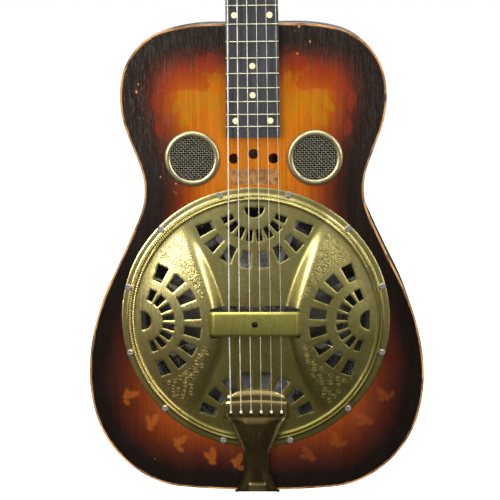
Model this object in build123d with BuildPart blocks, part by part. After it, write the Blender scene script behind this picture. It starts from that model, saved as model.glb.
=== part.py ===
"""Resonator guitar: flat-topped wooden body, spun metal cone and spider bridge under a pressed
coverplate, round neck joined at the twelfth fret, three-a-side open-geared tuners.

Millimetres. Origin on the centre line at the nut, on the plane of the soundboard. +Z runs up the
neck, the strings face -Y and the bass strings lie on -X.
"""

import os
from math import cos, pi, radians, sin

from build123d import *

os.makedirs("parts", exist_ok=True)

# ---------------------------------------------------------------- driving dimensions
SCALE = 628.65  # 24.75 inch string length
FRETS = 19
BODY_DEPTH = 82.0
TOP_T = 3.6
BACK_T = 3.2
PIN_R = 4.0  # end pin
PIN_HOLE_R = 4.05
PIN_Y = BODY_DEPTH / 2
SIDE_T = 2.6
BINDING_W = 2.0
LINING_W = 6.0
LINING_H = 9.0

PLATE_Z = -626.4  # centre of the coverplate, cone and spider
BODY_TOP_Z = PLATE_Z + 312.8
BODY_END_Z = PLATE_Z - 193.3
PLATE_R = 143.4
PLATE_T = 1.0
PLATE_SCREW_R = 140.2
PLATE_SCREWS = 12
PLATE_SCREW_START = 15  # bearing of the first screw, in degrees
SCREW_R = 1.5
SCREW_HOLE_R = 1.55
FAN_R = 122.0
REST_W = 27.0
REST_H = 21.8

CONE_R = 133.3
WELL_R = 128.0
WELL_OUTER_R = 146.0
TOP_HOLE_R = 134.0

SCREEN_X = 64.2
SCREEN_Z = PLATE_Z + 173.8
SCREEN_R = 29.6
SCREEN_HOLE_R = 27.0
SCREEN_VIEW_R = 23.2

BOARD_T = 6.4
BOARD_END_Z = PLATE_Z + 196.1
NUT_HALF = 23.75
BOARD_END_HALF = 28.1
FRET_H = 1.1
NUT_L = 5.2
NUT_H = 9.2

STRING_D = [1.42, 1.07, 0.81, 0.61, 0.46, 0.41]  # bass to treble
NUT_SPREAD = 43.0
SADDLE_SPREAD = 55.0
TAIL_SPREAD = 54.8
STRING_H_NUT = 8.9
STRING_H_SADDLE = 14.6
STRING_H_TAIL = 7.9
SADDLE_TOP = 15.4
SADDLE_X = 18.0  # middle of each saddle half
SADDLE_L = 26.2
SADDLE_THICK = 3.4
SADDLE_GROOVE_D = 5.0

HEAD_TILT = 14.0
HEAD_T = 14.5
HEAD_L = 184.0
POST_X = 21.5
POST_V = [48.0, 85.0, 122.0]  # distance of the posts above the nut, along the headstock
POST_R = 3.0
POST_STAND = 14.0
RUN_FIT = 0.08
BUSHING_R = 4.6
BUSHING_HOLE_R = 4.65

GEAR_TEETH = 14
GEAR_R = 6.4
GEAR_ROOT_R = 5.0
GEAR_T = 3.2
GEAR_SEAT_R = 2.0
WORM_R = 3.7
WORM_ROOT_R = 2.6
WORM_PITCH = 2.69
WORM_L = 8.07
MESH_A = 9.5  # distance between the gear's axis and the worm's axis
KEY_R = 2.0
TUNER_PLATE_T = 1.2
BUTTON_L = 15.0

FRONT = Plane.XZ  # the soundboard plane, looking at the strings
HEAD = Plane(
    origin=(0, 0, NUT_L),
    x_dir=(1, 0, 0),
    z_dir=(0, -cos(radians(HEAD_TILT)), sin(radians(HEAD_TILT))),
)


def front_at(height, x=0.0, z=0.0):
    """The soundboard plane raised towards the player by height, centred at x, z."""
    return Plane(origin=(x, -height, z), x_dir=(1, 0, 0), z_dir=(0, -1, 0))


def head_at(height, x=0.0, v=0.0):
    """The headstock's front plane raised by height, centred at x and v along the headstock."""
    return Plane(
        origin=HEAD.from_local_coords(Vector(x, v, height)),
        x_dir=HEAD.x_dir,
        z_dir=HEAD.z_dir,
    )


def board_half(z):
    """Half width of the neck and fretboard at z."""
    return NUT_HALF + (BOARD_END_HALF - NUT_HALF) * z / BOARD_END_Z


def fret_z(number):
    return -SCALE * (1 - 2 ** (-number / 12))


def finish(piece, name):
    """Label a finished piece and write it."""
    piece.part.label = name
    export_step(piece.part, f"parts/{name}.step")
    print(name, round(piece.part.volume), len(piece.part.solids()))


# ---------------------------------------------------------------- body outline
# Where the arcs of the half outline meet, as x and height above the coverplate's centre:
# shoulder, upper bout, waist, lower bout, tail. Each arc leaves along the one before it.
SHOULDER_START = (44.6, 312.8)
ARC_ENDS = [
    (87.6, 307.5),
    (136.5, 255.4),
    (131.4, 199.5),
    (119.4, 166.8),
    (121.7, 111.0),
    (153.5, 44.3),
    (179.4, -41.1),
    (175.8, -103.8),
    (121.9, -176.6),
    (82.2, -189.4),
    (0.0, BODY_END_Z - PLATE_Z),
]

with BuildSketch() as outline_sketch:
    with BuildLine():
        edge = Line((0, SHOULDER_START[1]), SHOULDER_START)
        for arc_end in ARC_ENDS:
            edge = TangentArc(edge @ 1, arc_end, tangent=edge % 1)
        mirror(about=Plane.YZ)
    make_face()
OUTLINE = outline_sketch.sketch


def outline_face(inset):
    """The body's outline drawn in by inset."""
    with BuildSketch() as face:
        add(OUTLINE)
        if inset:
            offset(amount=-inset, mode=Mode.REPLACE)
    return face.sketch


def ring_face(outer_inset, inner_inset):
    """A closed strip that follows the body's outline."""
    with BuildSketch() as strip:
        add(outline_face(outer_inset))
        add(outline_face(inner_inset), mode=Mode.SUBTRACT)
    return strip.sketch


WALL_Y0 = TOP_T
WALL_Y1 = BODY_DEPTH - BACK_T
WALL_H = WALL_Y1 - WALL_Y0
STICK_HALF = 19.0
STICK_D = 25.0
NECK_BLOCK_L = 55.0
END_BLOCK_L = 22.0
BLOCK_HALF = 42.0

SMALL_HOLES = [(0, 178.3), (-20.7, 173.6), (20.7, 173.6)]
SMALL_HOLE_R = 5.5

# ---------------------------------------------------------------- top, back, sides
with BuildPart() as top:
    with BuildSketch(front_at(0, 0, PLATE_Z)):
        add(outline_face(BINDING_W))
        Circle(TOP_HOLE_R, mode=Mode.SUBTRACT)
        with Locations((-SCREEN_X, SCREEN_Z - PLATE_Z), (SCREEN_X, SCREEN_Z - PLATE_Z)):
            Circle(SCREEN_HOLE_R, mode=Mode.SUBTRACT)
        with Locations(*SMALL_HOLES):
            Circle(SMALL_HOLE_R, mode=Mode.SUBTRACT)
        with PolarLocations(PLATE_SCREW_R, PLATE_SCREWS, start_angle=PLATE_SCREW_START):
            Circle(SCREW_HOLE_R, mode=Mode.SUBTRACT)
    extrude(amount=-TOP_T)
finish(top, "top")

with BuildPart() as back:
    with BuildSketch(front_at(-(BODY_DEPTH - BACK_T), 0, PLATE_Z)):
        add(outline_face(BINDING_W))
    extrude(amount=-BACK_T)
finish(back, "back")

with BuildPart() as bindings:
    for front_y, height in ((0, TOP_T), (BODY_DEPTH - BACK_T, BACK_T)):
        with BuildSketch(front_at(-front_y, 0, PLATE_Z)):
            add(ring_face(0, BINDING_W))
        extrude(amount=-height)
finish(bindings, "bindings")

for name, side in (("side_bass", -1), ("side_treble", 1)):
    with BuildPart() as wall:
        with BuildSketch(front_at(-WALL_Y0, 0, PLATE_Z)):
            add(ring_face(0, SIDE_T))
            with Locations((side * 200, 0)):
                Rectangle(400, 800, mode=Mode.INTERSECT)
        extrude(amount=-WALL_H)
        with Locations((0, WALL_Y0 + STICK_D / 2, BODY_TOP_Z)):
            Box(2 * STICK_HALF, STICK_D, 20, mode=Mode.SUBTRACT)
        with Locations((0, BODY_DEPTH / 2, BODY_END_Z)):
            Cylinder(PIN_HOLE_R, 20, mode=Mode.SUBTRACT)
    finish(wall, name)

with BuildPart() as linings:
    for front_y in (WALL_Y0, WALL_Y1 - LINING_H):
        with BuildSketch(front_at(-front_y, 0, PLATE_Z)):
            add(ring_face(SIDE_T, SIDE_T + LINING_W))
        extrude(amount=-LINING_H)
    with Locations((0, BODY_DEPTH / 2, BODY_TOP_Z), (0, BODY_DEPTH / 2, BODY_END_Z)):
        Box(2 * BLOCK_HALF + 1, BODY_DEPTH, 2 * NECK_BLOCK_L, mode=Mode.SUBTRACT)
finish(linings, "linings")

# ---------------------------------------------------------------- inner blocks and soundwell
with BuildPart() as neck_block:
    with Locations((0, (WALL_Y0 + WALL_Y1) / 2, BODY_TOP_Z - SIDE_T - 1.2 - NECK_BLOCK_L / 2)):
        Box(2 * BLOCK_HALF, WALL_H, NECK_BLOCK_L)
    with Locations((0, WALL_Y0 + STICK_D / 2, BODY_TOP_Z - NECK_BLOCK_L / 2)):
        Box(2 * STICK_HALF, STICK_D, NECK_BLOCK_L + 20, mode=Mode.SUBTRACT)
finish(neck_block, "neck_block")

with BuildPart() as end_block:
    with Locations((0, (WALL_Y0 + WALL_Y1) / 2, BODY_END_Z + SIDE_T + 1.2 + END_BLOCK_L / 2)):
        Box(2 * BLOCK_HALF, WALL_H, END_BLOCK_L)
    with Locations((0, BODY_DEPTH / 2, BODY_END_Z)):
        Cylinder(PIN_HOLE_R, 36, mode=Mode.SUBTRACT)
finish(end_block, "end_block")

WELL_PORTS = 9
with BuildPart() as soundwell:
    with BuildSketch(front_at(-WALL_Y0, 0, PLATE_Z)):
        Circle(WELL_OUTER_R)
        Circle(WELL_R, mode=Mode.SUBTRACT)
        with PolarLocations(PLATE_SCREW_R, PLATE_SCREWS, start_angle=PLATE_SCREW_START):
            Circle(SCREW_HOLE_R, mode=Mode.SUBTRACT)
    extrude(amount=-WALL_H)
    for index in range(WELL_PORTS):
        port = Plane(origin=(0, BODY_DEPTH / 2 + 4, PLATE_Z)).rotated((0, 40 * index + 20, 0))
        with BuildSketch(port.offset(WELL_R - 20)):
            SlotOverall(52, 26)
        extrude(amount=60, mode=Mode.SUBTRACT)
finish(soundwell, "soundwell")

STICK_END_Z = PLATE_Z + WELL_OUTER_R + 0.3
with BuildPart() as neck_stick:
    with Locations((0, WALL_Y0 + STICK_D / 2, (BODY_TOP_Z + STICK_END_Z) / 2)):
        Box(2 * STICK_HALF, STICK_D, BODY_TOP_Z - STICK_END_Z)
    with BuildSketch(FRONT):
        with Locations(*[(x, PLATE_Z + z) for x, z in SMALL_HOLES]):
            Circle(SMALL_HOLE_R)
    extrude(amount=-16, mode=Mode.SUBTRACT)
finish(neck_stick, "neck_stick")

# ---------------------------------------------------------------- cone and spider
TENSION_HOLE_R = 2.1
with BuildPart() as cone:
    with BuildSketch(Plane(origin=(0, 0, PLATE_Z), x_dir=(1, 0, 0), z_dir=(0, 0, 1))):
        with BuildLine():
            Polyline((CONE_R, 3.3), (125, 3.3))
            Spline(
                (125, 3.3),
                (104, 32),
                (76, 46),
                (48, 40),
                (26, 22),
                (12, 15),
                tangents=[(-1, 0.9), (-1, -0.1)],
            )
            Polyline((12, 15), (TENSION_HOLE_R, 15))
        trace(line_width=0.6)
    revolve(axis=Axis((0, 0, PLATE_Z), (0, 1, 0)), revolution_arc=360)
finish(cone, "cone")

HUB_R = 19.0
HUB_TOP = 4.0
SPIDER_FOOT_R = 131.0
SPIDER_LEGS = 8
LEG_W = 6.0
BRIDGE_SEAT_TOP = 7.0
with BuildPart() as spider:
    with BuildSketch(front_at(-4, 0, PLATE_Z)):
        Circle(HUB_R)
    extrude(amount=4 + HUB_TOP)
    for index in range(SPIDER_LEGS):
        radial = Plane(origin=(0, 0, PLATE_Z), x_dir=(1, 0, 0), z_dir=(0, 0, 1)).rotated(
            (0, 45 * index + 22.5, 0)
        )
        with BuildSketch(radial):
            with BuildLine():
                Polyline(
                    (HUB_R - 4, -HUB_TOP),
                    (60, -1.4),
                    (SPIDER_FOOT_R, 0.3),
                    (SPIDER_FOOT_R, 2.9),
                    (SPIDER_FOOT_R - 6, 2.9),
                    (60, 5.5),
                    (HUB_R - 4, 4),
                    close=True,
                )
            make_face()
        extrude(amount=LEG_W / 2, both=True)
    with BuildSketch(front_at(HUB_TOP - 0.5, 0, PLATE_Z)):
        RectangleRounded(62, 13, 3)
    extrude(amount=BRIDGE_SEAT_TOP - HUB_TOP + 0.5)
    with BuildSketch(front_at(BRIDGE_SEAT_TOP, 0, PLATE_Z)):
        with Locations((-SADDLE_X, 0), (SADDLE_X, 0)):
            Rectangle(SADDLE_L + 0.2, SADDLE_THICK + 0.2)
    extrude(amount=-SADDLE_GROOVE_D, mode=Mode.SUBTRACT)
    with BuildSketch(front_at(BRIDGE_SEAT_TOP, 0, PLATE_Z)):
        Circle(TENSION_HOLE_R)
    extrude(amount=-20, mode=Mode.SUBTRACT)
finish(spider, "spider")


def string_x(index, spread):
    return -spread / 2 + spread * index / 5


with BuildPart() as saddles:
    with BuildSketch(front_at(BRIDGE_SEAT_TOP - SADDLE_GROOVE_D, 0, PLATE_Z)):
        with Locations((-SADDLE_X, 0), (SADDLE_X, 0)):
            Rectangle(SADDLE_L, SADDLE_THICK)
    extrude(amount=SADDLE_TOP - BRIDGE_SEAT_TOP + SADDLE_GROOVE_D)
    for index, diameter in enumerate(STRING_D):
        notch_h = SADDLE_TOP - STRING_H_SADDLE + diameter / 2 + 0.25
        with BuildSketch(front_at(SADDLE_TOP, string_x(index, SADDLE_SPREAD), PLATE_Z)):
            Rectangle(diameter + 0.2, 10)
        extrude(amount=-notch_h, mode=Mode.SUBTRACT)
finish(saddles, "saddles")

with BuildPart() as tension_screw:
    with BuildSketch(front_at(BRIDGE_SEAT_TOP + 0.1, 0, PLATE_Z)):
        Circle(4.2)
    extrude(amount=2.4)
    chamfer(tension_screw.edges().group_by(Axis.Y)[0], 0.6)
    with BuildSketch(front_at(BRIDGE_SEAT_TOP + 2.5, 0, PLATE_Z)):
        Rectangle(8.6, 1.1)
    extrude(amount=-1.2, mode=Mode.SUBTRACT)
    with BuildSketch(front_at(BRIDGE_SEAT_TOP + 0.6, 0, PLATE_Z)):
        Circle(TENSION_HOLE_R - RUN_FIT)
    extrude(amount=-28)
finish(tension_screw, "tension_screw")

# ---------------------------------------------------------------- coverplate
CHANNEL_H = 5.6
CHANNEL_FOOT = 9.6  # where the two straight flares would meet, from the centre line
CHANNEL_FLARE = 0.5
CHANNEL_WAIST_R = 165.0
CHANNEL_WALL = 35  # lean of the channel's walls, in degrees
LOBE_EDGE_R = 129.0
LOBE_H = 17.0
RIM_BEAD_H = 3.6
BEAD_OUTER_R = 136.5
BEAD_R = 133.0
BEAD_INNER_R = 129.5
DOME_EDGE_H = 1.4
REST_OPEN_HALF = 48.5
REST_OPEN_W = 33.0
REST_HOLE_R = 3.4
REST_FLAT_HALF = 47.0
REST_FOOT_X = 55.0
REST_FOOT_H = 15.4
REST_SHEET = 1.2
PLATE_SECTION = Plane(origin=(0, 0, PLATE_Z), x_dir=(1, 0, 0), z_dir=(0, 0, 1))
PLATE_SPIN = Axis((0, 0, PLATE_Z), (0, 1, 0))


def plate_lobes():
    """The high dome that flanks the strings, parted by a channel that flares both ways."""
    reach = PLATE_R + 10
    flare = CHANNEL_FOOT + CHANNEL_FLARE * reach
    with BuildPart() as lobes:
        with BuildSketch(PLATE_SECTION):
            with BuildLine():
                Polyline((0, -LOBE_H), (0, 0), (LOBE_EDGE_R, 0))
                ThreePointArc((LOBE_EDGE_R, 0), (85, -12.0), (0, -LOBE_H))
            make_face()
        revolve(axis=PLATE_SPIN, revolution_arc=360)
        with BuildSketch(front_at(0, 0, PLATE_Z)):
            with BuildLine():
                side = FilletPolyline(
                    (flare, -reach), (CHANNEL_FOOT, 0), (flare, reach), radius=CHANNEL_WAIST_R
                )
                mirror(side, about=Plane.YZ)
                Line((flare, reach), (-flare, reach))
                Line((flare, -reach), (-flare, -reach))
            make_face()
        extrude(amount=22, taper=-CHANNEL_WALL, mode=Mode.SUBTRACT)
    return lobes.part


def plate_body():
    """All that lies under the plate's front face: flat rim, bead, low dome and lobes."""
    with BuildPart() as body:
        with BuildSketch(PLATE_SECTION):
            with BuildLine():
                Polyline((0, -CHANNEL_H), (0, 0), (PLATE_R, 0), (PLATE_R, -PLATE_T), (BEAD_OUTER_R, -PLATE_T))
                ThreePointArc((BEAD_OUTER_R, -PLATE_T), (BEAD_R, -RIM_BEAD_H), (BEAD_INNER_R, -DOME_EDGE_H))
                ThreePointArc((BEAD_INNER_R, -DOME_EDGE_H), (66, -4.8), (0, -CHANNEL_H))
            make_face()
        revolve(axis=PLATE_SPIN, revolution_arc=360)
        add(plate_lobes())
    return body.part


def fan_slots():
    """One fan, pointing down from its focus: a half-moon hole and two rings of tapering slots."""
    with BuildSketch() as fan:
        Circle(10.5)
        with Locations((0, 12)):
            Rectangle(30, 24, mode=Mode.SUBTRACT)
        for radius, length, inner_w, outer_w in ((30.0, 12.4, 5.2, 7.0), (56.0, 17.8, 8.6, 12.2)):
            with PolarLocations(radius, 8, start_angle=-157, angular_range=134, endpoint=True):
                Polygon(
                    (-length / 2, -inner_w / 2),
                    (length / 2, -outer_w / 2),
                    (length / 2, outer_w / 2),
                    (-length / 2, inner_w / 2),
                    align=None,
                )
    return fan.sketch


PLATE_BODY = plate_body()
FAN = fan_slots()
with BuildPart() as coverplate:
    add(PLATE_BODY)
    with Locations((0, PLATE_T, 0)):
        add(PLATE_BODY, mode=Mode.SUBTRACT)
    with BuildSketch(front_at(0, 0, PLATE_Z)):
        for quarter in range(4):
            bearing = quarter * pi / 2
            with Locations(
                Location((FAN_R * cos(bearing), FAN_R * sin(bearing), 0), (0, 0, 90 * quarter - 90))
            ):
                add(FAN)
        RectangleRounded(2 * REST_OPEN_HALF, REST_OPEN_W, 4)
        with PolarLocations(PLATE_SCREW_R, PLATE_SCREWS, start_angle=PLATE_SCREW_START):
            Circle(SCREW_HOLE_R)
    extrude(amount=40, mode=Mode.SUBTRACT)
    with BuildSketch(PLATE_SECTION):
        with BuildLine():
            FilletPolyline(
                (-REST_FOOT_X, -REST_FOOT_H),
                (-REST_FLAT_HALF, REST_SHEET / 2 - REST_H),
                (REST_FLAT_HALF, REST_SHEET / 2 - REST_H),
                (REST_FOOT_X, -REST_FOOT_H),
                radius=5,
            )
        trace(line_width=REST_SHEET)
    extrude(amount=REST_W / 2, both=True)
    with BuildSketch(front_at(0, 0, PLATE_Z)):
        Circle(REST_HOLE_R)
    extrude(amount=40, mode=Mode.SUBTRACT)
finish(coverplate, "coverplate")

with BuildPart() as coverplate_screws:
    for index in range(PLATE_SCREWS):
        bearing = radians(PLATE_SCREW_START + 360 / PLATE_SCREWS * index)
        spot_x = PLATE_SCREW_R * cos(bearing)
        spot_z = PLATE_Z + PLATE_SCREW_R * sin(bearing)
        with BuildSketch(front_at(PLATE_T, spot_x, spot_z)):
            Circle(3.5)
        extrude(amount=0.9)
        with BuildSketch(front_at(PLATE_T + 0.9, spot_x, spot_z)):
            Circle(3.5)
        extrude(amount=0.9, taper=40)
        with BuildSketch(front_at(PLATE_T + 0.5, spot_x, spot_z)):
            Circle(SCREW_R)
        extrude(amount=-14)
        with BuildSketch(front_at(PLATE_T + 1.8, spot_x, spot_z)):
            Rectangle(7, 0.9)
        extrude(amount=-0.8, mode=Mode.SUBTRACT)
finish(coverplate_screws, "coverplate_screws")

# ---------------------------------------------------------------- screens
RIM_H = 2.6
with BuildPart() as screen_rims:
    for x in (-SCREEN_X, SCREEN_X):
        with BuildSketch(Plane(origin=(x, 0, SCREEN_Z), x_dir=(1, 0, 0), z_dir=(0, 0, 1))):
            with BuildLine():
                Polyline((SCREEN_R, 0), (26.6, 0), (26.6, 4.0), (25.4, 4.0), (25.4, -1.1))
                Polyline((25.4, -1.1), (SCREEN_VIEW_R, -1.1), (SCREEN_VIEW_R, -1.7))
                ThreePointArc((SCREEN_VIEW_R, -1.7), (26.4, -RIM_H), (SCREEN_R, 0))
            make_face()
        revolve(axis=Axis((x, 0, SCREEN_Z), (0, 1, 0)), revolution_arc=360)
finish(screen_rims, "screen_rims")

with BuildPart() as screen_meshes:
    for x in (-SCREEN_X, SCREEN_X):
        with BuildSketch(front_at(0.2, x, SCREEN_Z)):
            Circle(25.3)
        extrude(amount=0.8)
finish(screen_meshes, "screen_meshes")

# ---------------------------------------------------------------- tailpiece and end pin
TAIL_SHEET = 1.5
TAIL_HOLE_Z = PLATE_Z - 101.0
TAIL_END_Z = BODY_END_Z - 0.3 - TAIL_SHEET / 2
TAIL_STRAP_Y = 54.0
TAIL_END_HALF = 24.6
BUTTON_R = 7.0
with BuildPart() as tailpiece:
    with BuildSketch(Plane.YZ):
        with BuildLine():
            FilletPolyline(
                (-5.9, PLATE_Z - 77.4),
                (-7.0, PLATE_Z - 79.6),
                (-6.8, PLATE_Z - 86.0),
                (-6.6, PLATE_Z - 104.0),
                (-6.2, PLATE_Z - 130.0),
                (-3.2, PLATE_Z - 172.0),
                (-2.2, TAIL_END_Z),
                (TAIL_STRAP_Y, TAIL_END_Z),
                radius=[0.9, 6, 40, 60, 60, 2.6],
            )
        trace(line_width=TAIL_SHEET)
    extrude(amount=34, both=True)
    with BuildSketch(front_at(20, 0, PLATE_Z)):
        with BuildLine():
            edge = FilletPolyline(
                (0, -76.2),
                (33, -76.2),
                (33, -106),
                (28, -113),
                (13.4, -146),
                (13.4, -168),
                (TAIL_END_HALF, -197),
                (TAIL_END_HALF, -200),
                (0, -200),
                radius=[9, 3, 4, 28, 30, 1, 1],
            )
            mirror(edge, about=Plane.YZ)
        make_face()
    extrude(amount=-100, mode=Mode.INTERSECT)
    with BuildSketch(Plane.XY.offset(BODY_END_Z - 10)):
        with BuildLine():
            strap = FilletPolyline((0, -12), (40, -12), (40, 0), (TAIL_END_HALF, 4), (14, 55), (0, 55), radius=3)
            mirror(strap, about=Plane.YZ)
        make_face()
    extrude(amount=200, mode=Mode.INTERSECT)
    with BuildSketch(front_at(20, 0, 0)):
        for index in range(6):
            with Locations((string_x(index, TAIL_SPREAD), TAIL_HOLE_Z)):
                Circle(2.6)
    extrude(amount=-30, mode=Mode.SUBTRACT)
    with Locations((0, PIN_Y, TAIL_END_Z)):
        Cylinder(PIN_HOLE_R, 10, mode=Mode.SUBTRACT)
finish(tailpiece, "tailpiece")

with BuildPart() as end_pin:
    with BuildSketch(Plane.XY.offset(TAIL_END_Z - TAIL_SHEET / 2)):
        with Locations((0, PIN_Y)):
            Circle(6.4)
    extrude(amount=-2)
    with BuildSketch(Plane.XY.offset(BODY_END_Z + 17)):
        with Locations((0, PIN_Y)):
            Circle(PIN_R)
    extrude(amount=-29)
    with BuildSketch(Plane.XY.offset(BODY_END_Z - 10)):
        with Locations((0, PIN_Y)):
            Circle(BUTTON_R)
    extrude(amount=-6)
    chamfer(end_pin.edges().group_by(Axis.Z)[0], 1)
finish(end_pin, "end_pin")

# ---------------------------------------------------------------- neck and headstock
NECK_SECTIONS = [  # z, depth behind the soundboard plane
    (NUT_L, 15.0),
    (-60.0, 15.6),
    (-160.0, 16.8),
    (-258.0, 19.5),
    (-284.0, 27.0),
    (-300.0, 44.0),
    (BODY_TOP_Z + 0.3, 70.0),
]
HEAD_HALF = [(24.2, -6), (24.6, 8), (33.5, 27), (36.5, 160), (33.0, 180), (17.0, 178), (0.0, HEAD_L)]


def neck_section(z, depth):
    """A half ellipse behind the soundboard plane, as wide as the fretboard."""
    with BuildSketch(Plane.XY.offset(z)) as section:
        Ellipse(board_half(min(z, 0)), depth)
        with Locations((0, -depth)):
            Rectangle(80, 2 * depth, mode=Mode.SUBTRACT)
    return section.sketch


TUNER_SCREW_SPOTS = [(x, v) for x in (-POST_X, POST_X) for v in (63.0, 100.0)]


def post_spots():
    """Side, number and place of each tuner, string by string from the bass."""
    spots = []
    for index in range(6):
        side = -1 if index < 3 else 1
        row = index if index < 3 else 5 - index
        spots.append((index, side, POST_V[row]))
    return spots


with BuildPart() as neck:
    add(loft([neck_section(z, depth) for z, depth in NECK_SECTIONS[:4]], mode=Mode.PRIVATE))
    add(loft([neck_section(z, depth) for z, depth in NECK_SECTIONS[3:]], mode=Mode.PRIVATE))
    with BuildSketch(FRONT):
        Polygon(
            (-NUT_HALF, NUT_L),
            (NUT_HALF, NUT_L),
            (NUT_HALF, 0),
            (board_half(BODY_TOP_Z), BODY_TOP_Z),
            (-board_half(BODY_TOP_Z), BODY_TOP_Z),
            (-NUT_HALF, 0),
            align=None,
        )
    extrude(amount=100, both=True, mode=Mode.INTERSECT)
    with BuildSketch(HEAD):
        with BuildLine():
            Polyline(*HEAD_HALF[:3])
            Line(HEAD_HALF[2], HEAD_HALF[3])
            Spline(*HEAD_HALF[3:])
            Line(HEAD_HALF[0], (0, HEAD_HALF[0][1]))
            mirror(about=Plane.YZ)
        make_face()
    extrude(amount=-HEAD_T)
    with Locations((0, -20, NUT_L - 200)):
        Box(120, 40, 400, mode=Mode.SUBTRACT)
    with BuildSketch(HEAD):
        for index, side, v in post_spots():
            with Locations((side * POST_X, v)):
                Circle(BUSHING_HOLE_R)
    extrude(amount=-HEAD_T, mode=Mode.SUBTRACT)
    with BuildSketch(head_at(-HEAD_T)):
        with Locations(*TUNER_SCREW_SPOTS):
            Circle(SCREW_R)
    extrude(amount=9, mode=Mode.SUBTRACT)
finish(neck, "neck")

# ---------------------------------------------------------------- fretboard, frets, dots, nut
DOT_R = 3.1
DOT_T = 1.2
DOT_ROWS = [(5, (0,)), (7, (0,)), (9, (0,)), (12, (-18, 18)), (15, (0,)), (17, (0,)), (19, (-18, 18))]


def dot_spots():
    """Centres of the position dots, each halfway between its fret and the one before."""
    return [
        (x, (fret_z(number) + fret_z(number - 1)) / 2) for number, row in DOT_ROWS for x in row
    ]


with BuildPart() as fretboard:
    with BuildSketch(FRONT):
        Polygon(
            (-NUT_HALF, 0),
            (NUT_HALF, 0),
            (BOARD_END_HALF, BOARD_END_Z),
            (-BOARD_END_HALF, BOARD_END_Z),
            align=None,
        )
    extrude(amount=BOARD_T)
    with BuildSketch(front_at(BOARD_T)):
        for number in range(1, FRETS + 1):
            with Locations((0, fret_z(number))):
                Rectangle(80, 0.6)
    extrude(amount=-1.7, mode=Mode.SUBTRACT)
    with BuildSketch(front_at(BOARD_T)):
        with Locations(*dot_spots()):
            Circle(DOT_R)
    extrude(amount=-DOT_T, mode=Mode.SUBTRACT)
finish(fretboard, "fretboard")

with BuildPart() as frets:
    for number in range(1, FRETS + 1):
        with BuildSketch(Plane.YZ):
            with Locations((-BOARD_T, fret_z(number))):
                Ellipse(FRET_H, 1.1)
            with Locations((-BOARD_T + 2, fret_z(number))):
                Rectangle(4, 4, mode=Mode.SUBTRACT)
            with Locations((-BOARD_T + 0.8, fret_z(number))):
                Rectangle(1.6, 0.6)
        extrude(amount=board_half(fret_z(number)) - 0.2, both=True)
finish(frets, "frets")

with BuildPart() as position_dots:
    with BuildSketch(front_at(BOARD_T)):
        with Locations(*dot_spots()):
            Circle(DOT_R)
    extrude(amount=-DOT_T)
finish(position_dots, "position_dots")

with BuildPart() as nut:
    with BuildSketch(Plane.YZ):
        with BuildLine():
            Polyline((-NUT_H, 0), (0, 0), (0, NUT_L), (1 - NUT_H, NUT_L))
            ThreePointArc((1 - NUT_H, NUT_L), (0.3 - NUT_H, 0.6 * NUT_L), (-NUT_H, 0))
        make_face()
    extrude(amount=NUT_HALF, both=True)
    for index, diameter in enumerate(STRING_D):
        with BuildSketch(front_at(NUT_H + 1, string_x(index, NUT_SPREAD), NUT_L / 2)):
            Rectangle(diameter + 0.5, 2 * NUT_L)
        extrude(amount=-(1 + NUT_H - STRING_H_NUT + diameter / 2 + 1.3), mode=Mode.SUBTRACT)
finish(nut, "nut")

# ---------------------------------------------------------------- strings
STRING_POST_H = 6.5  # height of the strings over the headstock where they meet the posts
for index, side, v in post_spots():
    diameter = STRING_D[index]
    beside = side * (POST_X - POST_R - diameter / 2 - 0.4)
    with BuildPart() as string:
        with BuildLine() as route:
            FilletPolyline(
                (HEAD.from_local_coords(Vector(beside, v, STRING_POST_H))),
                (string_x(index, NUT_SPREAD), -STRING_H_NUT, NUT_L / 2),
                (string_x(index, SADDLE_SPREAD), -STRING_H_SADDLE, PLATE_Z),
                (string_x(index, TAIL_SPREAD), -STRING_H_TAIL, TAIL_HOLE_Z),
                radius=[9, 30],
            )
        with BuildSketch(Plane(origin=route.line @ 0, z_dir=route.line % 0)):
            Circle(diameter / 2)
        sweep(path=route.line)
        with Locations((string_x(index, TAIL_SPREAD), -STRING_H_TAIL, TAIL_HOLE_Z)):
            Sphere(1.7)
    finish(string, f"string_{index + 1}")
    print("length", round(sum(edge.length for edge in route.edges()), 1))

# ---------------------------------------------------------------- tuners
KEY_H = -HEAD_T - TUNER_PLATE_T - WORM_R - 0.5  # height of the key's axis, behind the headstock
GEAR_FACE_H = KEY_H + GEAR_T / 2
EAR_T = 2.0
EAR_HALF_GAP = 6.5
PLATE_HALF_W = 9.0
KEY_START = 13.2  # where each key's shaft begins and ends, from the centre line
KEY_END = 52.0
THREAD_SINK = 0.2
BUTTON_START = 44.0


def worm_solid():
    """A key's shaft with its single-start thread, along local Z from the middle of the worm."""
    thread_h = WORM_R - WORM_ROOT_R + THREAD_SINK
    with BuildPart() as worm:
        Cylinder(WORM_ROOT_R, WORM_L)
        with BuildSketch(Plane.XY.offset(KEY_START - POST_X)):
            Circle(KEY_R)
        extrude(amount=KEY_END - KEY_START)
        with BuildLine() as thread_line:
            Helix(
                pitch=WORM_PITCH,
                height=WORM_L,
                radius=WORM_ROOT_R - THREAD_SINK,
                center=(0, 0, -WORM_L / 2),
            )
        start = thread_line.line @ 0
        with BuildSketch(Plane(origin=start, x_dir=(1, 0, 0), z_dir=(0, 1, 0))):
            Polygon((0, -0.62), (thread_h, -0.3), (thread_h, 0.3), (0, 0.62), align=None)
        sweep(path=thread_line.line, is_frenet=True)
    return worm.part


WORM = worm_solid()

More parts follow.
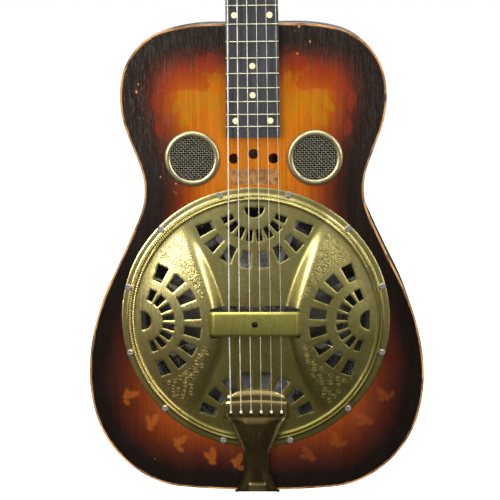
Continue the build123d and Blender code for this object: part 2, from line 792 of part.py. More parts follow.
for index, side, v in post_spots():
    number = index + 1
    with BuildPart() as post:
        with BuildSketch(head_at(POST_STAND, side * POST_X, v)):
            Circle(POST_R)
        extrude(amount=GEAR_FACE_H - POST_STAND)
        with BuildSketch(head_at(GEAR_FACE_H + 0.1, side * POST_X, v)):
            Circle(GEAR_SEAT_R - 0.02)
        extrude(amount=-GEAR_T - 0.7)
        with Locations(head_at(STRING_POST_H + 1, side * POST_X, v).location):
            Cylinder(0.9, 20, rotation=(90, 0, 0), mode=Mode.SUBTRACT)
    finish(post, f"post_{number}")

    with BuildPart() as gear:
        with BuildSketch(head_at(GEAR_FACE_H, side * POST_X, v)):
            Circle(GEAR_ROOT_R)
            with PolarLocations(0, GEAR_TEETH, start_angle=-90):
                Polygon(
                    (GEAR_ROOT_R - 0.3, -0.8),
                    (GEAR_R, -0.36),
                    (GEAR_R, 0.36),
                    (GEAR_ROOT_R - 0.3, 0.8),
                    align=None,
                )
            Circle(GEAR_SEAT_R, mode=Mode.SUBTRACT)
        extrude(amount=-GEAR_T)
    finish(gear, f"gear_{number}")

    worm_plane = Plane(
        origin=HEAD.from_local_coords(Vector(side * POST_X, v - MESH_A, KEY_H)),
        x_dir=HEAD.y_dir,
        z_dir=(side, 0, 0),
    )
    with BuildPart() as worm_shaft:
        add(worm_plane.location * WORM)
    finish(worm_shaft, f"worm_{number}")

    with BuildPart() as button:
        with BuildSketch(worm_plane.offset(BUTTON_START - POST_X)):
            Ellipse(5.0, 4.2)
        with BuildSketch(worm_plane.offset(BUTTON_START - POST_X + BUTTON_L * 0.55)):
            Ellipse(9.5, 4.6)
        with BuildSketch(worm_plane.offset(BUTTON_START - POST_X + BUTTON_L)):
            Ellipse(7.5, 3.4)
        loft()
        with BuildSketch(worm_plane.offset(BUTTON_START - POST_X)):
            Circle(KEY_R)
        extrude(amount=KEY_END - BUTTON_START, mode=Mode.SUBTRACT)
    finish(button, f"button_{number}")

for name, side in (("tuner_plate_bass", -1), ("tuner_plate_treble", 1)):
    with BuildPart() as tuner_plate:
        with BuildSketch(head_at(-HEAD_T, side * POST_X, POST_V[1])):
            RectangleRounded(2 * PLATE_HALF_W, 108, 3)
        extrude(amount=-TUNER_PLATE_T)
        for v in POST_V:
            for ear in (-1, 1):
                with BuildSketch(
                    head_at(-HEAD_T - 0.5, side * (POST_X + ear * EAR_HALF_GAP), v - MESH_A)
                ):
                    Rectangle(EAR_T, 7.4)
                extrude(amount=KEY_H - 3.7 + HEAD_T + 0.5)
        for v in POST_V:
            with BuildSketch(head_at(0, side * POST_X, v)):
                Circle(POST_R + RUN_FIT)
            extrude(amount=-30, mode=Mode.SUBTRACT)
            key_plane = Plane(
                origin=HEAD.from_local_coords(Vector(side * 5, v - MESH_A, KEY_H)),
                x_dir=HEAD.y_dir,
                z_dir=(side, 0, 0),
            )
            with BuildSketch(key_plane):
                Circle(KEY_R + RUN_FIT)
            extrude(amount=40, mode=Mode.SUBTRACT)
        with BuildSketch(HEAD):
            with Locations(*TUNER_SCREW_SPOTS):
                Circle(SCREW_HOLE_R)
        extrude(amount=-30, mode=Mode.SUBTRACT)
    finish(tuner_plate, name)

with BuildPart() as tuner_plate_screws:
    with BuildSketch(head_at(-HEAD_T - TUNER_PLATE_T)):
        with Locations(*TUNER_SCREW_SPOTS):
            Circle(2.8)
    extrude(amount=-1.4)
    with BuildSketch(head_at(-HEAD_T - TUNER_PLATE_T)):
        with Locations(*TUNER_SCREW_SPOTS):
            Circle(SCREW_R)
    extrude(amount=9)
finish(tuner_plate_screws, "tuner_plate_screws")

with BuildPart() as post_bushings:
    for index, side, v in post_spots():
        with BuildSketch(head_at(0, side * POST_X, v)):
            Circle(6.2)
            Circle(POST_R + RUN_FIT, mode=Mode.SUBTRACT)
        extrude(amount=1.2)
        with BuildSketch(head_at(0, side * POST_X, v)):
            Circle(BUSHING_R)
            Circle(POST_R + RUN_FIT, mode=Mode.SUBTRACT)
        extrude(amount=-6)
finish(post_bushings, "post_bushings")
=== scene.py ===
import math
import random

import bpy
import bmesh
import numpy as np
from mathutils import Matrix, Vector
from mathutils.geometry import delaunay_2d_cdt


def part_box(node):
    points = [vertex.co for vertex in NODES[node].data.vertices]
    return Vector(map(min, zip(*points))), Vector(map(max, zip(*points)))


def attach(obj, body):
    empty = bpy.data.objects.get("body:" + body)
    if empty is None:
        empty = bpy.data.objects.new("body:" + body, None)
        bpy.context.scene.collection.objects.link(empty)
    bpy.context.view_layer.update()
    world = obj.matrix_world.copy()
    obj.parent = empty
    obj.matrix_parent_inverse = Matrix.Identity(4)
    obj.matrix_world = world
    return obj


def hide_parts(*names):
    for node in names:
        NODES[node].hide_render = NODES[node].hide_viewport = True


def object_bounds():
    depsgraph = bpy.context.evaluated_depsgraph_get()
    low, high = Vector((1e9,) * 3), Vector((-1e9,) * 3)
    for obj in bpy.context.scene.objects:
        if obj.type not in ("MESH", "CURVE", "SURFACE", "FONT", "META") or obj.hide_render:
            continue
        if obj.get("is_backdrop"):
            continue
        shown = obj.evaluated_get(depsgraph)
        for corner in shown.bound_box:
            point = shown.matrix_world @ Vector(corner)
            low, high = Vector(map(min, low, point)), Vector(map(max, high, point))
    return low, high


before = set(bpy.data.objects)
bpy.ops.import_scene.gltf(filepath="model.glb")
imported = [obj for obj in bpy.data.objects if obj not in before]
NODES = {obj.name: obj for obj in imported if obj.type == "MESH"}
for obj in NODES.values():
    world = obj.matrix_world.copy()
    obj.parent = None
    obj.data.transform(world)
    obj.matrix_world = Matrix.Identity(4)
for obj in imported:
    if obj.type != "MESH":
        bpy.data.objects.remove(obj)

# Everything is in metres: X across the strings, -Y towards the player, +Z up the neck.
# Plan shapes are drawn in millimetres on the soundboard, as x and z from the coverplate's centre.
CAD_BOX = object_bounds()
MM = 0.001
PLATE_LOW, PLATE_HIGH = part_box("coverplate")
PLATE_Z = (PLATE_LOW.z + PLATE_HIGH.z) / 2
PLATE_R = (PLATE_HIGH.x - PLATE_LOW.x) / 2 / MM
BODY_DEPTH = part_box("bindings")[1].y
TAIL_LOW, TAIL_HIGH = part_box("tailpiece")
BODY = "guitar"


def place(x, z, height=0.0):
    """A point on the soundboard plane, in metres, raised towards the player by height."""
    return Vector((x * MM, -height * MM, PLATE_Z + z * MM))


# ---------------------------------------------------------------- plan shapes
def fillet(points, radii, closed=False):
    """The polyline with its corners rounded. radii has one value for each corner."""
    points = [np.array(p, float) for p in points]
    count = len(points)
    out = []
    for index, corner in enumerate(points):
        if not closed and index in (0, count - 1):
            out.append(corner)
            continue
        radius = radii[index] if closed else radii[index - 1]
        before = points[index - 1] - corner
        after = points[(index + 1) % count] - corner
        before /= np.linalg.norm(before)
        after /= np.linalg.norm(after)
        half = math.acos(float(np.clip(before @ after, -1, 1))) / 2
        if radius <= 0 or half > math.pi / 2 - 0.01:
            out.append(corner)
            continue
        reach = radius / math.tan(half)
        middle = before + after
        centre = corner + middle / np.linalg.norm(middle) * radius / math.sin(half)
        start = corner + before * reach - centre
        end = corner + after * reach - centre
        first = math.atan2(start[1], start[0])
        sweep = (math.atan2(end[1], end[0]) - first + math.pi) % (2 * math.pi) - math.pi
        steps = max(3, int(abs(sweep) * radius / 1.2) + 2)
        for step in range(steps + 1):
            angle = first + sweep * step / steps
            out.append(centre + radius * np.array((math.cos(angle), math.sin(angle))))
    return np.array(out)


def circle(x, z, radius, steps=28):
    turns = np.linspace(0, 2 * math.pi, steps, endpoint=False)
    return np.stack((x + radius * np.cos(turns), z + radius * np.sin(turns)), 1)


def resample(loop, step):
    """The closed loop with no side longer than step."""
    out = []
    for start, end in zip(loop, np.roll(loop, -1, 0)):
        parts = max(1, int(math.ceil(np.linalg.norm(end - start) / step)))
        out += [start + (end - start) * k / parts for k in range(parts)]
    return np.array(out)


def inside(points, loop):
    """Which points the closed loop surrounds."""
    hit = np.zeros(len(points), bool)
    x, z = points[:, 0], points[:, 1]
    for (ax, az), (bx, bz) in zip(loop, np.roll(loop, -1, 0)):
        if az == bz:
            continue
        crossing = (az > z) != (bz > z)
        hit ^= crossing & (x < (bx - ax) * (z - az) / (bz - az) + ax)
    return hit


def distance_to(points, loop):
    """Each point's distance to the closed loop."""
    nearest = np.full(len(points), 1e9)
    for start, end in zip(loop, np.roll(loop, -1, 0)):
        along = end - start
        share = ((points - start) @ along) / max(float(along @ along), 1e-12)
        gap = points - start - np.clip(share, 0, 1)[:, None] * along
        nearest = np.minimum(nearest, np.hypot(gap[:, 0], gap[:, 1]))
    return nearest


def hex_grid(low, high, step):
    rows = np.arange(low[1], high[1], step * 0.866)
    out = []
    for number, z in enumerate(rows):
        xs = np.arange(low[0] + (number % 2) * step / 2, high[0], step)
        out.append(np.stack((xs, np.full(len(xs), z)), 1))
    return np.concatenate(out)


def smooth(value, low, high):
    """0 below low, 1 above high, with a smooth step between."""
    share = np.clip((value - low) / (high - low), 0, 1)
    return share * share * (3 - 2 * share)


def bell(value, middle, width):
    """1 at the middle, falling to 0 a few widths away."""
    return np.exp(-(((value - middle) / width) ** 2))


# ---------------------------------------------------------------- meshes
def new_object(name, data, material, body=BODY, slot=None, replaces=()):
    piece = bpy.data.objects.new(name, data)
    bpy.context.scene.collection.objects.link(piece)
    data.materials.append(material)
    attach(piece, body)
    if replaces:
        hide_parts(*replaces)
    return piece


def cut_sheet(name, loops, extra, raise_to, thickness, material, sharp=35, **link):
    """A sheet of metal or wood. loops[0] is its outline and the others are its holes. extra are
    points inside it. raise_to turns plan points into points of the outer face, in metres."""
    points = np.concatenate(loops + [extra])
    sides = []
    start = 0
    for loop in loops:
        count = len(loop)
        sides += [(start + k, start + (k + 1) % count) for k in range(count)]
        start += count
    verts, _, faces, *_ = delaunay_2d_cdt([Vector(p) for p in points], sides, [], 0, 1e-5)
    flat = np.array([tuple(v) for v in verts])
    faces = np.array([tuple(f) for f in faces])
    middles = flat[faces].mean(1)
    keep = inside(middles, loops[0])
    for hole in loops[1:]:
        low, high = hole.min(0), hole.max(0)
        near = np.all((middles >= low) & (middles <= high), 1)
        keep[near] &= ~inside(middles[near], hole)
    faces = faces[keep]
    outer = raise_to(flat)
    edge_a = outer[faces[:, 1]] - outer[faces[:, 0]]
    edge_b = outer[faces[:, 2]] - outer[faces[:, 0]]
    face_normals = np.cross(edge_a, edge_b)
    normals = np.zeros_like(outer)
    for corner in range(3):
        np.add.at(normals, faces[:, corner], face_normals)
    normals /= np.maximum(np.linalg.norm(normals, axis=1), 1e-15)[:, None]
    inner = outer - normals * thickness
    count = len(flat)
    rims = {}
    for a, b, c in faces:
        for pair in ((a, b), (b, c), (c, a)):
            rims[pair] = rims.get(pair, 0) + 1
    walls = [(a, a + count, b + count, b) for a, b in rims if (b, a) not in rims]
    mesh = bpy.data.meshes.new(name)
    polygons = [tuple(f) for f in faces] + [tuple(f[::-1] + count) for f in faces] + walls
    corners = [tuple(int(i) for i in p) for p in polygons]
    mesh.from_pydata(np.concatenate((outer, inner)).tolist(), [], corners)
    loose = bmesh.new()
    loose.from_mesh(mesh)
    bmesh.ops.delete(loose, geom=[v for v in loose.verts if not v.link_faces], context="VERTS")
    bmesh.ops.recalc_face_normals(loose, faces=loose.faces)
    loose.to_mesh(mesh)
    loose.free()
    mesh.shade_smooth()
    mesh.set_sharp_from_angle(angle=math.radians(sharp))
    return new_object(name, mesh, material, **link)


def plan_of(mesh):
    """The mesh's vertices as plan points, in millimetres."""
    co = np.zeros(len(mesh.vertices) * 3)
    mesh.vertices.foreach_get("co", co)
    co = co.reshape(-1, 3)
    return np.stack((co[:, 0], co[:, 2] - PLATE_Z), 1) / MM


def paint(mesh, name, values):
    """A number for each vertex that the mesh's material reads by name."""
    mesh.attributes.new(name, "FLOAT", "POINT").data.foreach_set("value", np.asarray(values, np.float32))


def face_loops(node, level, facing):
    """The outline and holes of a flat CAD face that looks along Y, longest loop first."""
    work = bmesh.new()
    work.from_mesh(NODES[node].data)
    away = [
        f
        for f in work.faces
        if f.normal.y * facing < 0.99 or abs(f.calc_center_median().y - level) > 1e-4
    ]
    bmesh.ops.delete(work, geom=away, context="FACES")
    bmesh.ops.remove_doubles(work, verts=work.verts, dist=1e-6)
    following = {}
    for edge in work.edges:
        if len(edge.link_faces) == 1:
            loop = edge.link_loops[0]
            following[loop.vert.index] = loop.link_loop_next.vert.index
    spots = {v.index: (v.co.x / MM, (v.co.z - PLATE_Z) / MM) for v in work.verts}
    work.free()
    loops = []
    while following:
        first, here = following.popitem()
        chain = [first]
        while here != first:
            chain.append(here)
            here = following.pop(here)
        loops.append(np.array([spots[i] for i in chain]))
    return sorted(loops, key=lambda loop: -np.ptp(loop[:, 1]))


def wire(name, runs, radius, material, sides=1, **link):
    """Round wires that follow runs of points."""
    curve = bpy.data.curves.new(name, "CURVE")
    curve.dimensions = "3D"
    curve.bevel_depth = radius
    curve.bevel_resolution = sides
    curve.use_fill_caps = True
    for run in runs:
        spline = curve.splines.new("POLY")
        spline.points.add(len(run) - 1)
        for point, spot in zip(spline.points, run):
            point.co = (*spot, 1)
        spline.use_smooth = True
    return new_object(name, curve, material, **link)


# ---------------------------------------------------------------- materials
def linear(red, green, blue):
    """A screen colour, 0 to 255, as the linear colour that a shader takes."""
    out = []
    for value in (red, green, blue):
        share = value / 255
        out.append(share / 12.92 if share <= 0.04045 else ((share + 0.055) / 1.055) ** 2.4)
    return (*out, 1.0)


class Finish:
    """A procedural material. Its patterns are fixed to the object, in metres."""

    def __init__(self, name, **constants):
        self.material = bpy.data.materials.new(name)
        self.material.use_nodes = True
        self.tree = self.material.node_tree
        self.shader = self.tree.nodes["Principled BSDF"]
        for socket, value in constants.items():
            self.shader.inputs[socket.replace("_", " ")].default_value = value
        self.coords = self.tree.nodes.new("ShaderNodeTexCoord").outputs["Object"]

    def node(self, kind, inputs=(), **settings):
        node = self.tree.nodes.new(kind)
        for key, value in settings.items():
            setattr(node, key, value)
        for key, value in dict(inputs).items():
            self.feed(node.inputs[key], value)
        return node

    def feed(self, socket, value):
        if isinstance(value, bpy.types.NodeSocket):
            self.tree.links.new(value, socket)
        else:
            socket.default_value = value

    def stretch(self, scale, turn=(0, 0, 0)):
        """Object coordinates times scale, after a turn."""
        return self.node(
            "ShaderNodeMapping", {"Vector": self.coords, "Rotation": turn, "Scale": scale}
        ).outputs[0]

    def noise(self, scale, detail=4.0, roughness=0.55, distortion=0.0, stretch=(1, 1, 1)):
        return self.node(
            "ShaderNodeTexNoise",
            {
                "Vector": self.stretch(stretch),
                "Scale": scale,
                "Detail": detail,
                "Roughness": roughness,
                "Distortion": distortion,
            },
        ).outputs["Fac"]

    def cells(self, scale, feature="F1", stretch=(1, 1, 1), randomness=1.0):
        return self.node(
            "ShaderNodeTexVoronoi",
            {"Vector": self.stretch(stretch), "Scale": scale, "Randomness": randomness},
            feature=feature,
        ).outputs["Distance"]

    def span(self, value, low, high, to_low=0.0, to_high=1.0):
        return self.node(
            "ShaderNodeMapRange",
            {0: value, 1: low, 2: high, 3: to_low, 4: to_high},
            interpolation_type="SMOOTHSTEP",
        ).outputs[0]

    def math(self, operation, *values):
        return self.node("ShaderNodeMath", dict(enumerate(values)), operation=operation).outputs[0]

    def mix(self, share, first, second, blend="MIX"):
        return self.node(
            "ShaderNodeMix", {0: share, 6: first, 7: second}, data_type="RGBA", blend_type=blend
        ).outputs[2]

    def ramp(self, value, stops):
        node = self.node("ShaderNodeValToRGB", {"Fac": value})
        elements = node.color_ramp.elements
        while len(elements) < len(stops):
            elements.new(0.5)
        for element, (spot, colour) in zip(elements, stops):
            element.position = spot
            element.color = colour
        return node.outputs["Color"]

    def attribute(self, name):
        return self.node("ShaderNodeAttribute", attribute_name=name).outputs["Fac"]

    def axis(self, which):
        return self.node("ShaderNodeSeparateXYZ", {0: self.coords}).outputs[which]

    def bump(self, height, distance, strength=1.0, under=None):
        inputs = {"Height": height, "Distance": distance, "Strength": strength}
        if under is not None:
            inputs["Normal"] = under
        return self.node("ShaderNodeBump", inputs).outputs[0]

    def done(self, colour=None, roughness=None, normal=None, metallic=None):
        for socket, value in (
            ("Base Color", colour),
            ("Roughness", roughness),
            ("Normal", normal),
            ("Metallic", metallic),
        ):
            if value is not None:
                self.feed(self.shader.inputs[socket], value)
        return self.material


def sunburst(name, painted_light_level):
    """Lacquered wood that darkens towards its outline, checked along the grain and chipped. Its treble side
    is darkened as painted shade, and a second argument below 1 darkens all of it as painted shade.
    """
    m = Finish(name, Coat_Weight=0.1, Coat_Roughness=0.08, IOR=1.5, Specular_IOR_Level=0.12)
    inset = m.attribute("inset")
    cloud = m.noise(22, 3, 0.5)
    inset = m.math("ADD", inset, m.math("MULTIPLY", m.math("SUBTRACT", cloud, 0.5), 0.010))
    share = m.math("MULTIPLY", inset, 1 / 0.09)
    low = m.ramp(
        share,
        [
            (0.0, linear(14, 10, 8)),
            (0.2, linear(20, 11, 7)),
            (0.3, linear(42, 14, 6)),
            (0.42, linear(58, 19, 4)),
            (0.55, linear(80, 31, 3)),
            (0.7, linear(100, 41, 2)),
            (1.0, linear(122, 54, 2)),
        ],
    )
    high = m.ramp(
        share,
        [
            (0.0, linear(28, 24, 21)),
            (0.22, linear(30, 22, 18)),
            (0.33, linear(58, 24, 14)),
            (0.45, linear(98, 38, 11)),
            (0.58, linear(128, 60, 4)),
            (0.72, linear(150, 82, 1)),
            (1.0, linear(158, 90, 1)),
        ],
    )
    up = m.span(m.axis("Z"), PLATE_Z + 0.02, PLATE_Z + 0.17)
    colour = m.mix(up, low, high)
    # Painted shade: the colour is darkened towards the treble side (+X), away from the key lamp.
    colour = m.mix(m.span(m.axis("X"), -0.02, 0.12, 0.0, 0.30), colour, (0.55, 0.42, 0.4, 1), "MULTIPLY")
    fibre = m.noise(1, 5, 0.65, 0.2, (520, 20, 9))
    figure = m.noise(1, 3, 0.5, 0.6, (90, 20, 14))
    colour = m.mix(m.span(fibre, 0.35, 0.7, 0.0, 0.75), colour, (0.62, 0.42, 0.3, 1), "MULTIPLY")
    colour = m.mix(m.span(figure, 0.42, 0.66, 0.0, 0.42), colour, (1.3, 1.25, 0.9, 1), "MULTIPLY")
    for attribute, tint, strength in (
        ("red", linear(112, 26, 5), 0.62),
        ("olive", linear(126, 92, 0), 0.55),
        ("gold", linear(132, 66, 4), 0.7),
    ):
        worn = m.span(fibre, 0.2, 0.75, strength, strength * 0.45)
        faded = m.math("MULTIPLY", m.attribute(attribute), worn)
        colour = m.mix(faded, colour, tint)
    checks = m.math("ABSOLUTE", m.math("SUBTRACT", m.noise(1, 6, 0.6, 1.2, (330, 20, 26)), 0.5))
    checks = m.span(checks, 0.004, 0.03, 1.0, 0.0)
    above = m.span(m.axis("Z"), PLATE_Z + 0.12, PLATE_Z + 0.22)
    shoulder = m.math("MULTIPLY", above, m.span(inset, 0.03, 0.06, 1.0, 0.12))
    bass = m.span(m.axis("X"), -0.13, 0.06, 1.0, 0.35)
    checks = m.math("MULTIPLY", m.math("MULTIPLY", checks, shoulder), bass)
    colour = m.mix(m.math("MULTIPLY", checks, 0.3), colour, linear(92, 80, 70))
    chips = m.span(m.cells(120, stretch=(1.0, 1, 0.7)), 0.1, 0.16, 1.0, 0.0)
    chips = m.math("MULTIPLY", chips, m.span(m.noise(14, 3), 0.6, 0.66))
    chips = m.math("MULTIPLY", chips, m.span(inset, 0.035, 0.06, 1.0, 0.0))
    rim = m.span(m.attribute("inset"), 0.0004, 0.0034, 1.0, 0.0)
    edge_wear = m.math("MULTIPLY", rim, m.span(m.noise(60, 4), 0.46, 0.6))
    bare = m.math("MAXIMUM", chips, edge_wear)
    colour = m.mix(bare, colour, linear(170, 108, 44))
    # Painted shade: the whole colour is darkened towards black by the second argument, which makes the back a
    # shaded copy of the top's lacquer.
    colour = m.mix(1 - painted_light_level, colour, (0, 0, 0, 1))
    relief = m.math("SUBTRACT", m.math("MULTIPLY", fibre, 0.35), m.math("ADD", checks, bare))
    rough = m.math("ADD", m.span(m.noise(35, 5), 0.3, 0.7, 0.22, 0.42), m.math("MULTIPLY", bare, 0.3))
    return m.done(colour, rough, m.bump(relief, 0.00018, 0.7))


def brass(name, bright, dull, rust, painted_shade_lean, engraved=False, base_rough=0.25):
    """Old brass plate: bright where it is rubbed, olive and brown where it has tarnished, with painted shade
    that darkens it towards the treble side and the bottom.
    """
    m = Finish(name, Metallic=1.0)
    cloud = m.noise(16, 6, 0.62, 0.4)
    fine = m.noise(210, 5, 0.7)
    place_x = m.span(m.axis("X"), -0.13, 0.12)
    place_z = m.span(m.axis("Z"), PLATE_Z - 0.13, PLATE_Z + 0.12, 1.0, 0.0)
    # Painted shade: the brass is pushed towards its dull colour towards +X (the treble side) and towards the
    # bottom, on top of the real tarnish.
    tarnish_and_shade = m.math("ADD", m.math("MULTIPLY", place_x, painted_shade_lean[0]), m.math("MULTIPLY", place_z, painted_shade_lean[1]))
    tarnish_and_shade = m.math("ADD", tarnish_and_shade, m.math("MULTIPLY", m.math("SUBTRACT", cloud, 0.5), 1.1))
    tarnish_and_shade = m.math("ADD", tarnish_and_shade, m.math("MULTIPLY", m.math("SUBTRACT", fine, 0.5), 0.5))
    # The painted attribute adds real patina in the string channel and, on the tailpiece, takes patina away
    # along the flutes as a painted highlight.
    tarnish_and_shade = m.math("ADD", tarnish_and_shade, m.attribute("patina"))
    warm = m.math("MULTIPLY", m.span(m.axis("X"), -0.12, 0.04, 1.0, 0.0), place_z)
    bright = m.mix(m.math("MULTIPLY", warm, 0.75), bright, (0.5, 0.33, 0.09, 1))
    colour = m.mix(m.span(tarnish_and_shade, 0.05, 1.05), bright, dull)
    freckles = m.span(m.noise(620, 3, 0.7), 0.52, 0.66)
    freckles = m.math("MULTIPLY", freckles, m.span(m.noise(26, 3), 0.42, 0.62, 0.25, 1.0))
    colour = m.mix(m.math("MULTIPLY", freckles, 0.55), colour, (0.34, 0.33, 0.2, 1), "MULTIPLY")
    spots = m.math("MULTIPLY", m.span(m.noise(130, 4, 0.7), 0.60, 0.72), m.span(m.noise(19, 3), 0.46, 0.62))
    colour = m.mix(m.math("MULTIPLY", spots, 0.85), colour, rust)
    scratches = m.noise(1, 4, 0.7, 0.3, (900, 900, 60))
    rough = m.span(tarnish_and_shade, 0.0, 1.0, base_rough, base_rough + 0.2)
    rough = m.math("ADD", rough, m.math("MULTIPLY", spots, 0.25))
    rough = m.math("ADD", rough, m.span(scratches, 0.3, 0.7, -0.04, 0.06))
    height = m.math("ADD", m.math("MULTIPLY", fine, 0.32), m.math("MULTIPLY", m.noise(60, 3), 0.6))
    if engraved:
        curls = m.node(
            "ShaderNodeTexWave",
            {"Vector": m.coords, "Scale": 62, "Distortion": 26, "Detail": 2.5, "Detail Scale": 1.6},
            wave_type="RINGS",
        ).outputs["Fac"]
        field = m.attribute("scroll")
        cut = m.math("MULTIPLY", curls, field)
        height = m.math("ADD", height, m.math("MULTIPLY", cut, 1.3))
        grime = m.math("MULTIPLY", field, m.span(curls, 0.2, 0.6, 0.22, 0.0))
        colour = m.mix(grime, colour, (0.06, 0.045, 0.015, 1))
    return m.done(colour, rough, m.bump(height, 0.00016, 0.8))


def plain_metal(name, first, second, rough_low, rough_high, scale=60, brushed=(1, 1, 1), pits=0.00005):
    m = Finish(name, Metallic=1.0)
    cloud = m.noise(scale, 5, 0.6, 0.3)
    lines = m.noise(500, 4, 0.7, 0.0, brushed)
    colour = m.mix(m.span(cloud, 0.35, 0.68), first, second)
    rough = m.span(cloud, 0.3, 0.7, rough_low, rough_high)
    rough = m.math("ADD", rough, m.span(lines, 0.3, 0.7, -0.03, 0.06))
    return m.done(colour, rough, m.bump(lines, pits, 0.6))


def wood(name, pale, dark, gloss, streaks=(300, 300, 8), worn=None, coat=0.0, shine=0.5):
    """Wood with its grain along Z. worn is the bare colour where the finish has rubbed off."""
    m = Finish(name, Coat_Weight=coat, Coat_Roughness=0.18, Specular_IOR_Level=shine)
    fibre = m.noise(1, 6, 0.65, 0.3, streaks)
    figure = m.noise(1, 3, 0.5, 0.8, (streaks[0] / 6, streaks[1] / 6, streaks[2] * 1.2))
    colour = m.mix(m.span(fibre, 0.3, 0.72), pale, dark)
    colour = m.mix(m.span(figure, 0.45, 0.7, 0.0, 0.4), colour, dark)
    bare = None
    if worn:
        patches = m.span(m.noise(26, 6, 0.62), 0.6, 0.72)
        bare = m.math("MULTIPLY", patches, m.span(m.noise(140, 4), 0.4, 0.6))
        colour = m.mix(bare, colour, worn)
    rough = m.span(m.noise(40, 5), 0.3, 0.7, gloss, gloss + 0.2)
    if bare is not None:
        rough = m.math("ADD", rough, m.math("MULTIPLY", bare, 0.25))
    return m.done(colour, rough, m.bump(fibre, 0.00012, 0.6))


def solid_stuff(name, first, second, gloss, scale=40, **constants):
    """Bone, pearl and plastic: clouded, faintly pitted."""
    m = Finish(name, **constants)
    cloud = m.noise(scale, 5, 0.6, 0.5)
    colour = m.mix(m.span(cloud, 0.35, 0.7), first, second)
    dirt = m.math("MULTIPLY", m.span(m.noise(scale * 6, 5, 0.7), 0.58, 0.72), 0.4)
    colour = m.mix(dirt, colour, (0.12, 0.08, 0.04, 1))
    rough = m.span(cloud, 0.3, 0.7, gloss, gloss + 0.16)
    return m.done(colour, rough, m.bump(m.noise(scale * 9, 4), 0.00005, 0.6))


BRIGHT = (0.70, 0.62, 0.25, 1)
DULL = (0.21, 0.18, 0.05, 1)
RUST = (0.30, 0.105, 0.02, 1)
TOP_FINISH = sunburst("sunburst_lacquer", 1.0)
# The back: the top's lacquer at 0.8 brightness, as painted shade.
BACK_SHADED_FINISH = sunburst("sunburst_back_shaded", 0.8)
PLATE_BRASS = brass("plate_brass", BRIGHT, DULL, RUST, (0.5, 0.55), engraved=True)
REST_BRASS = brass(
    "rest_brass",
    (0.52, 0.5, 0.12, 1),
    (0.27, 0.22, 0.06, 1),
    RUST,
    (0.9, 0.1),
    base_rough=0.34,
)
SCROLL_BRASS = brass("scroll_brass", (0.74, 0.6, 0.24, 1), (0.24, 0.18, 0.05, 1), RUST, (0.4, 0.45))
TAIL_BRASS = brass(
    "tail_brass",
    (0.7, 0.54, 0.2, 1),
    (0.13, 0.09, 0.035, 1),
    (0.16, 0.06, 0.015, 1),
    (0.1, 0.0),
    base_rough=0.13,
)
RIM_BRASS = brass(
    "rim_brass",
    (0.5, 0.44, 0.24, 1),
    (0.17, 0.14, 0.06, 1),
    RUST,
    (0.3, 0.2),
    base_rough=0.34,
)
WEAVE_METAL = plain_metal("weave_metal", (0.24, 0.225, 0.175, 1), (0.18, 0.165, 0.12, 1), 0.4, 0.5, 400)
NICKEL = plain_metal("nickel", (0.82, 0.81, 0.78, 1), (0.52, 0.5, 0.46, 1), 0.24, 0.4, 120)
GEAR_METAL = plain_metal("gear_metal", (0.6, 0.44, 0.16, 1), (0.3, 0.2, 0.07, 1), 0.24, 0.4, 150)
ALUMINIUM = plain_metal(
    "aluminium",
    (0.5, 0.49, 0.47, 1),
    (0.24, 0.235, 0.225, 1),
    0.2,
    0.34,
    30,
    (1, 1, 0.1),
)
STEEL = plain_metal("screw_steel", (0.5, 0.49, 0.47, 1), (0.25, 0.22, 0.2, 1), 0.22, 0.4, 200)
FRET_METAL = plain_metal("fret_metal", (0.62, 0.6, 0.44, 1), (0.42, 0.39, 0.26, 1), 0.2, 0.38, 140)
SIDE_WOOD = wood(
    "side_lacquer",
    linear(26, 12, 8),
    linear(10, 7, 6),
    0.5,
    (14, 14, 260),
    linear(80, 42, 18),
    shine=0.06,
)
NECK_WOOD = wood(
    "neck_lacquer",
    linear(58, 27, 14),
    linear(20, 11, 8),
    0.4,
    (320, 320, 9),
    linear(120, 72, 34),
    0.08,
    0.2,
)
INNER_WOOD = wood("inner_wood", linear(170, 126, 78), linear(120, 82, 46), 0.55, (260, 260, 9))
BOARD_WOOD = wood("ebonised_board", linear(50, 50, 54), linear(22, 22, 25), 0.42, (520, 60, 10))
BINDING_STUFF = solid_stuff("binding", linear(172, 126, 70), linear(66, 38, 20), 0.35, 30)
PEARL = solid_stuff("pearl_dots", linear(222, 214, 170), linear(196, 184, 132), 0.22, 160, Coat_Weight=0.4)
BONE = solid_stuff("bone_nut", linear(226, 214, 184), linear(200, 182, 140), 0.32, 120, Subsurface_Weight=0.1)
BUTTON_STUFF = solid_stuff(
    "button_plastic",
    linear(228, 214, 180),
    linear(206, 184, 138),
    0.2,
    60,
    Coat_Weight=0.4,
)


def string_finish(name, wound):
    m = Finish(name, Metallic=0.6)
    cloud = m.noise(90, 4)
    colour = m.mix(m.span(cloud, 0.35, 0.65), (0.76, 0.73, 0.66, 1), (0.5, 0.46, 0.38, 1))
    turns = m.node(
        "ShaderNodeTexWave",
        {"Vector": m.coords, "Scale": 900.0 if wound else 60.0, "Distortion": 0.4},
        bands_direction="Z",
    ).outputs["Fac"]
    rough = m.span(cloud, 0.3, 0.7, 0.36, 0.5)
    return m.done(colour, rough, m.bump(turns, 0.00003, 0.3 if wound else 0.1))


WOUND_STRING = string_finish("wound_string", True)
PLAIN_STRING = string_finish("plain_string", False)

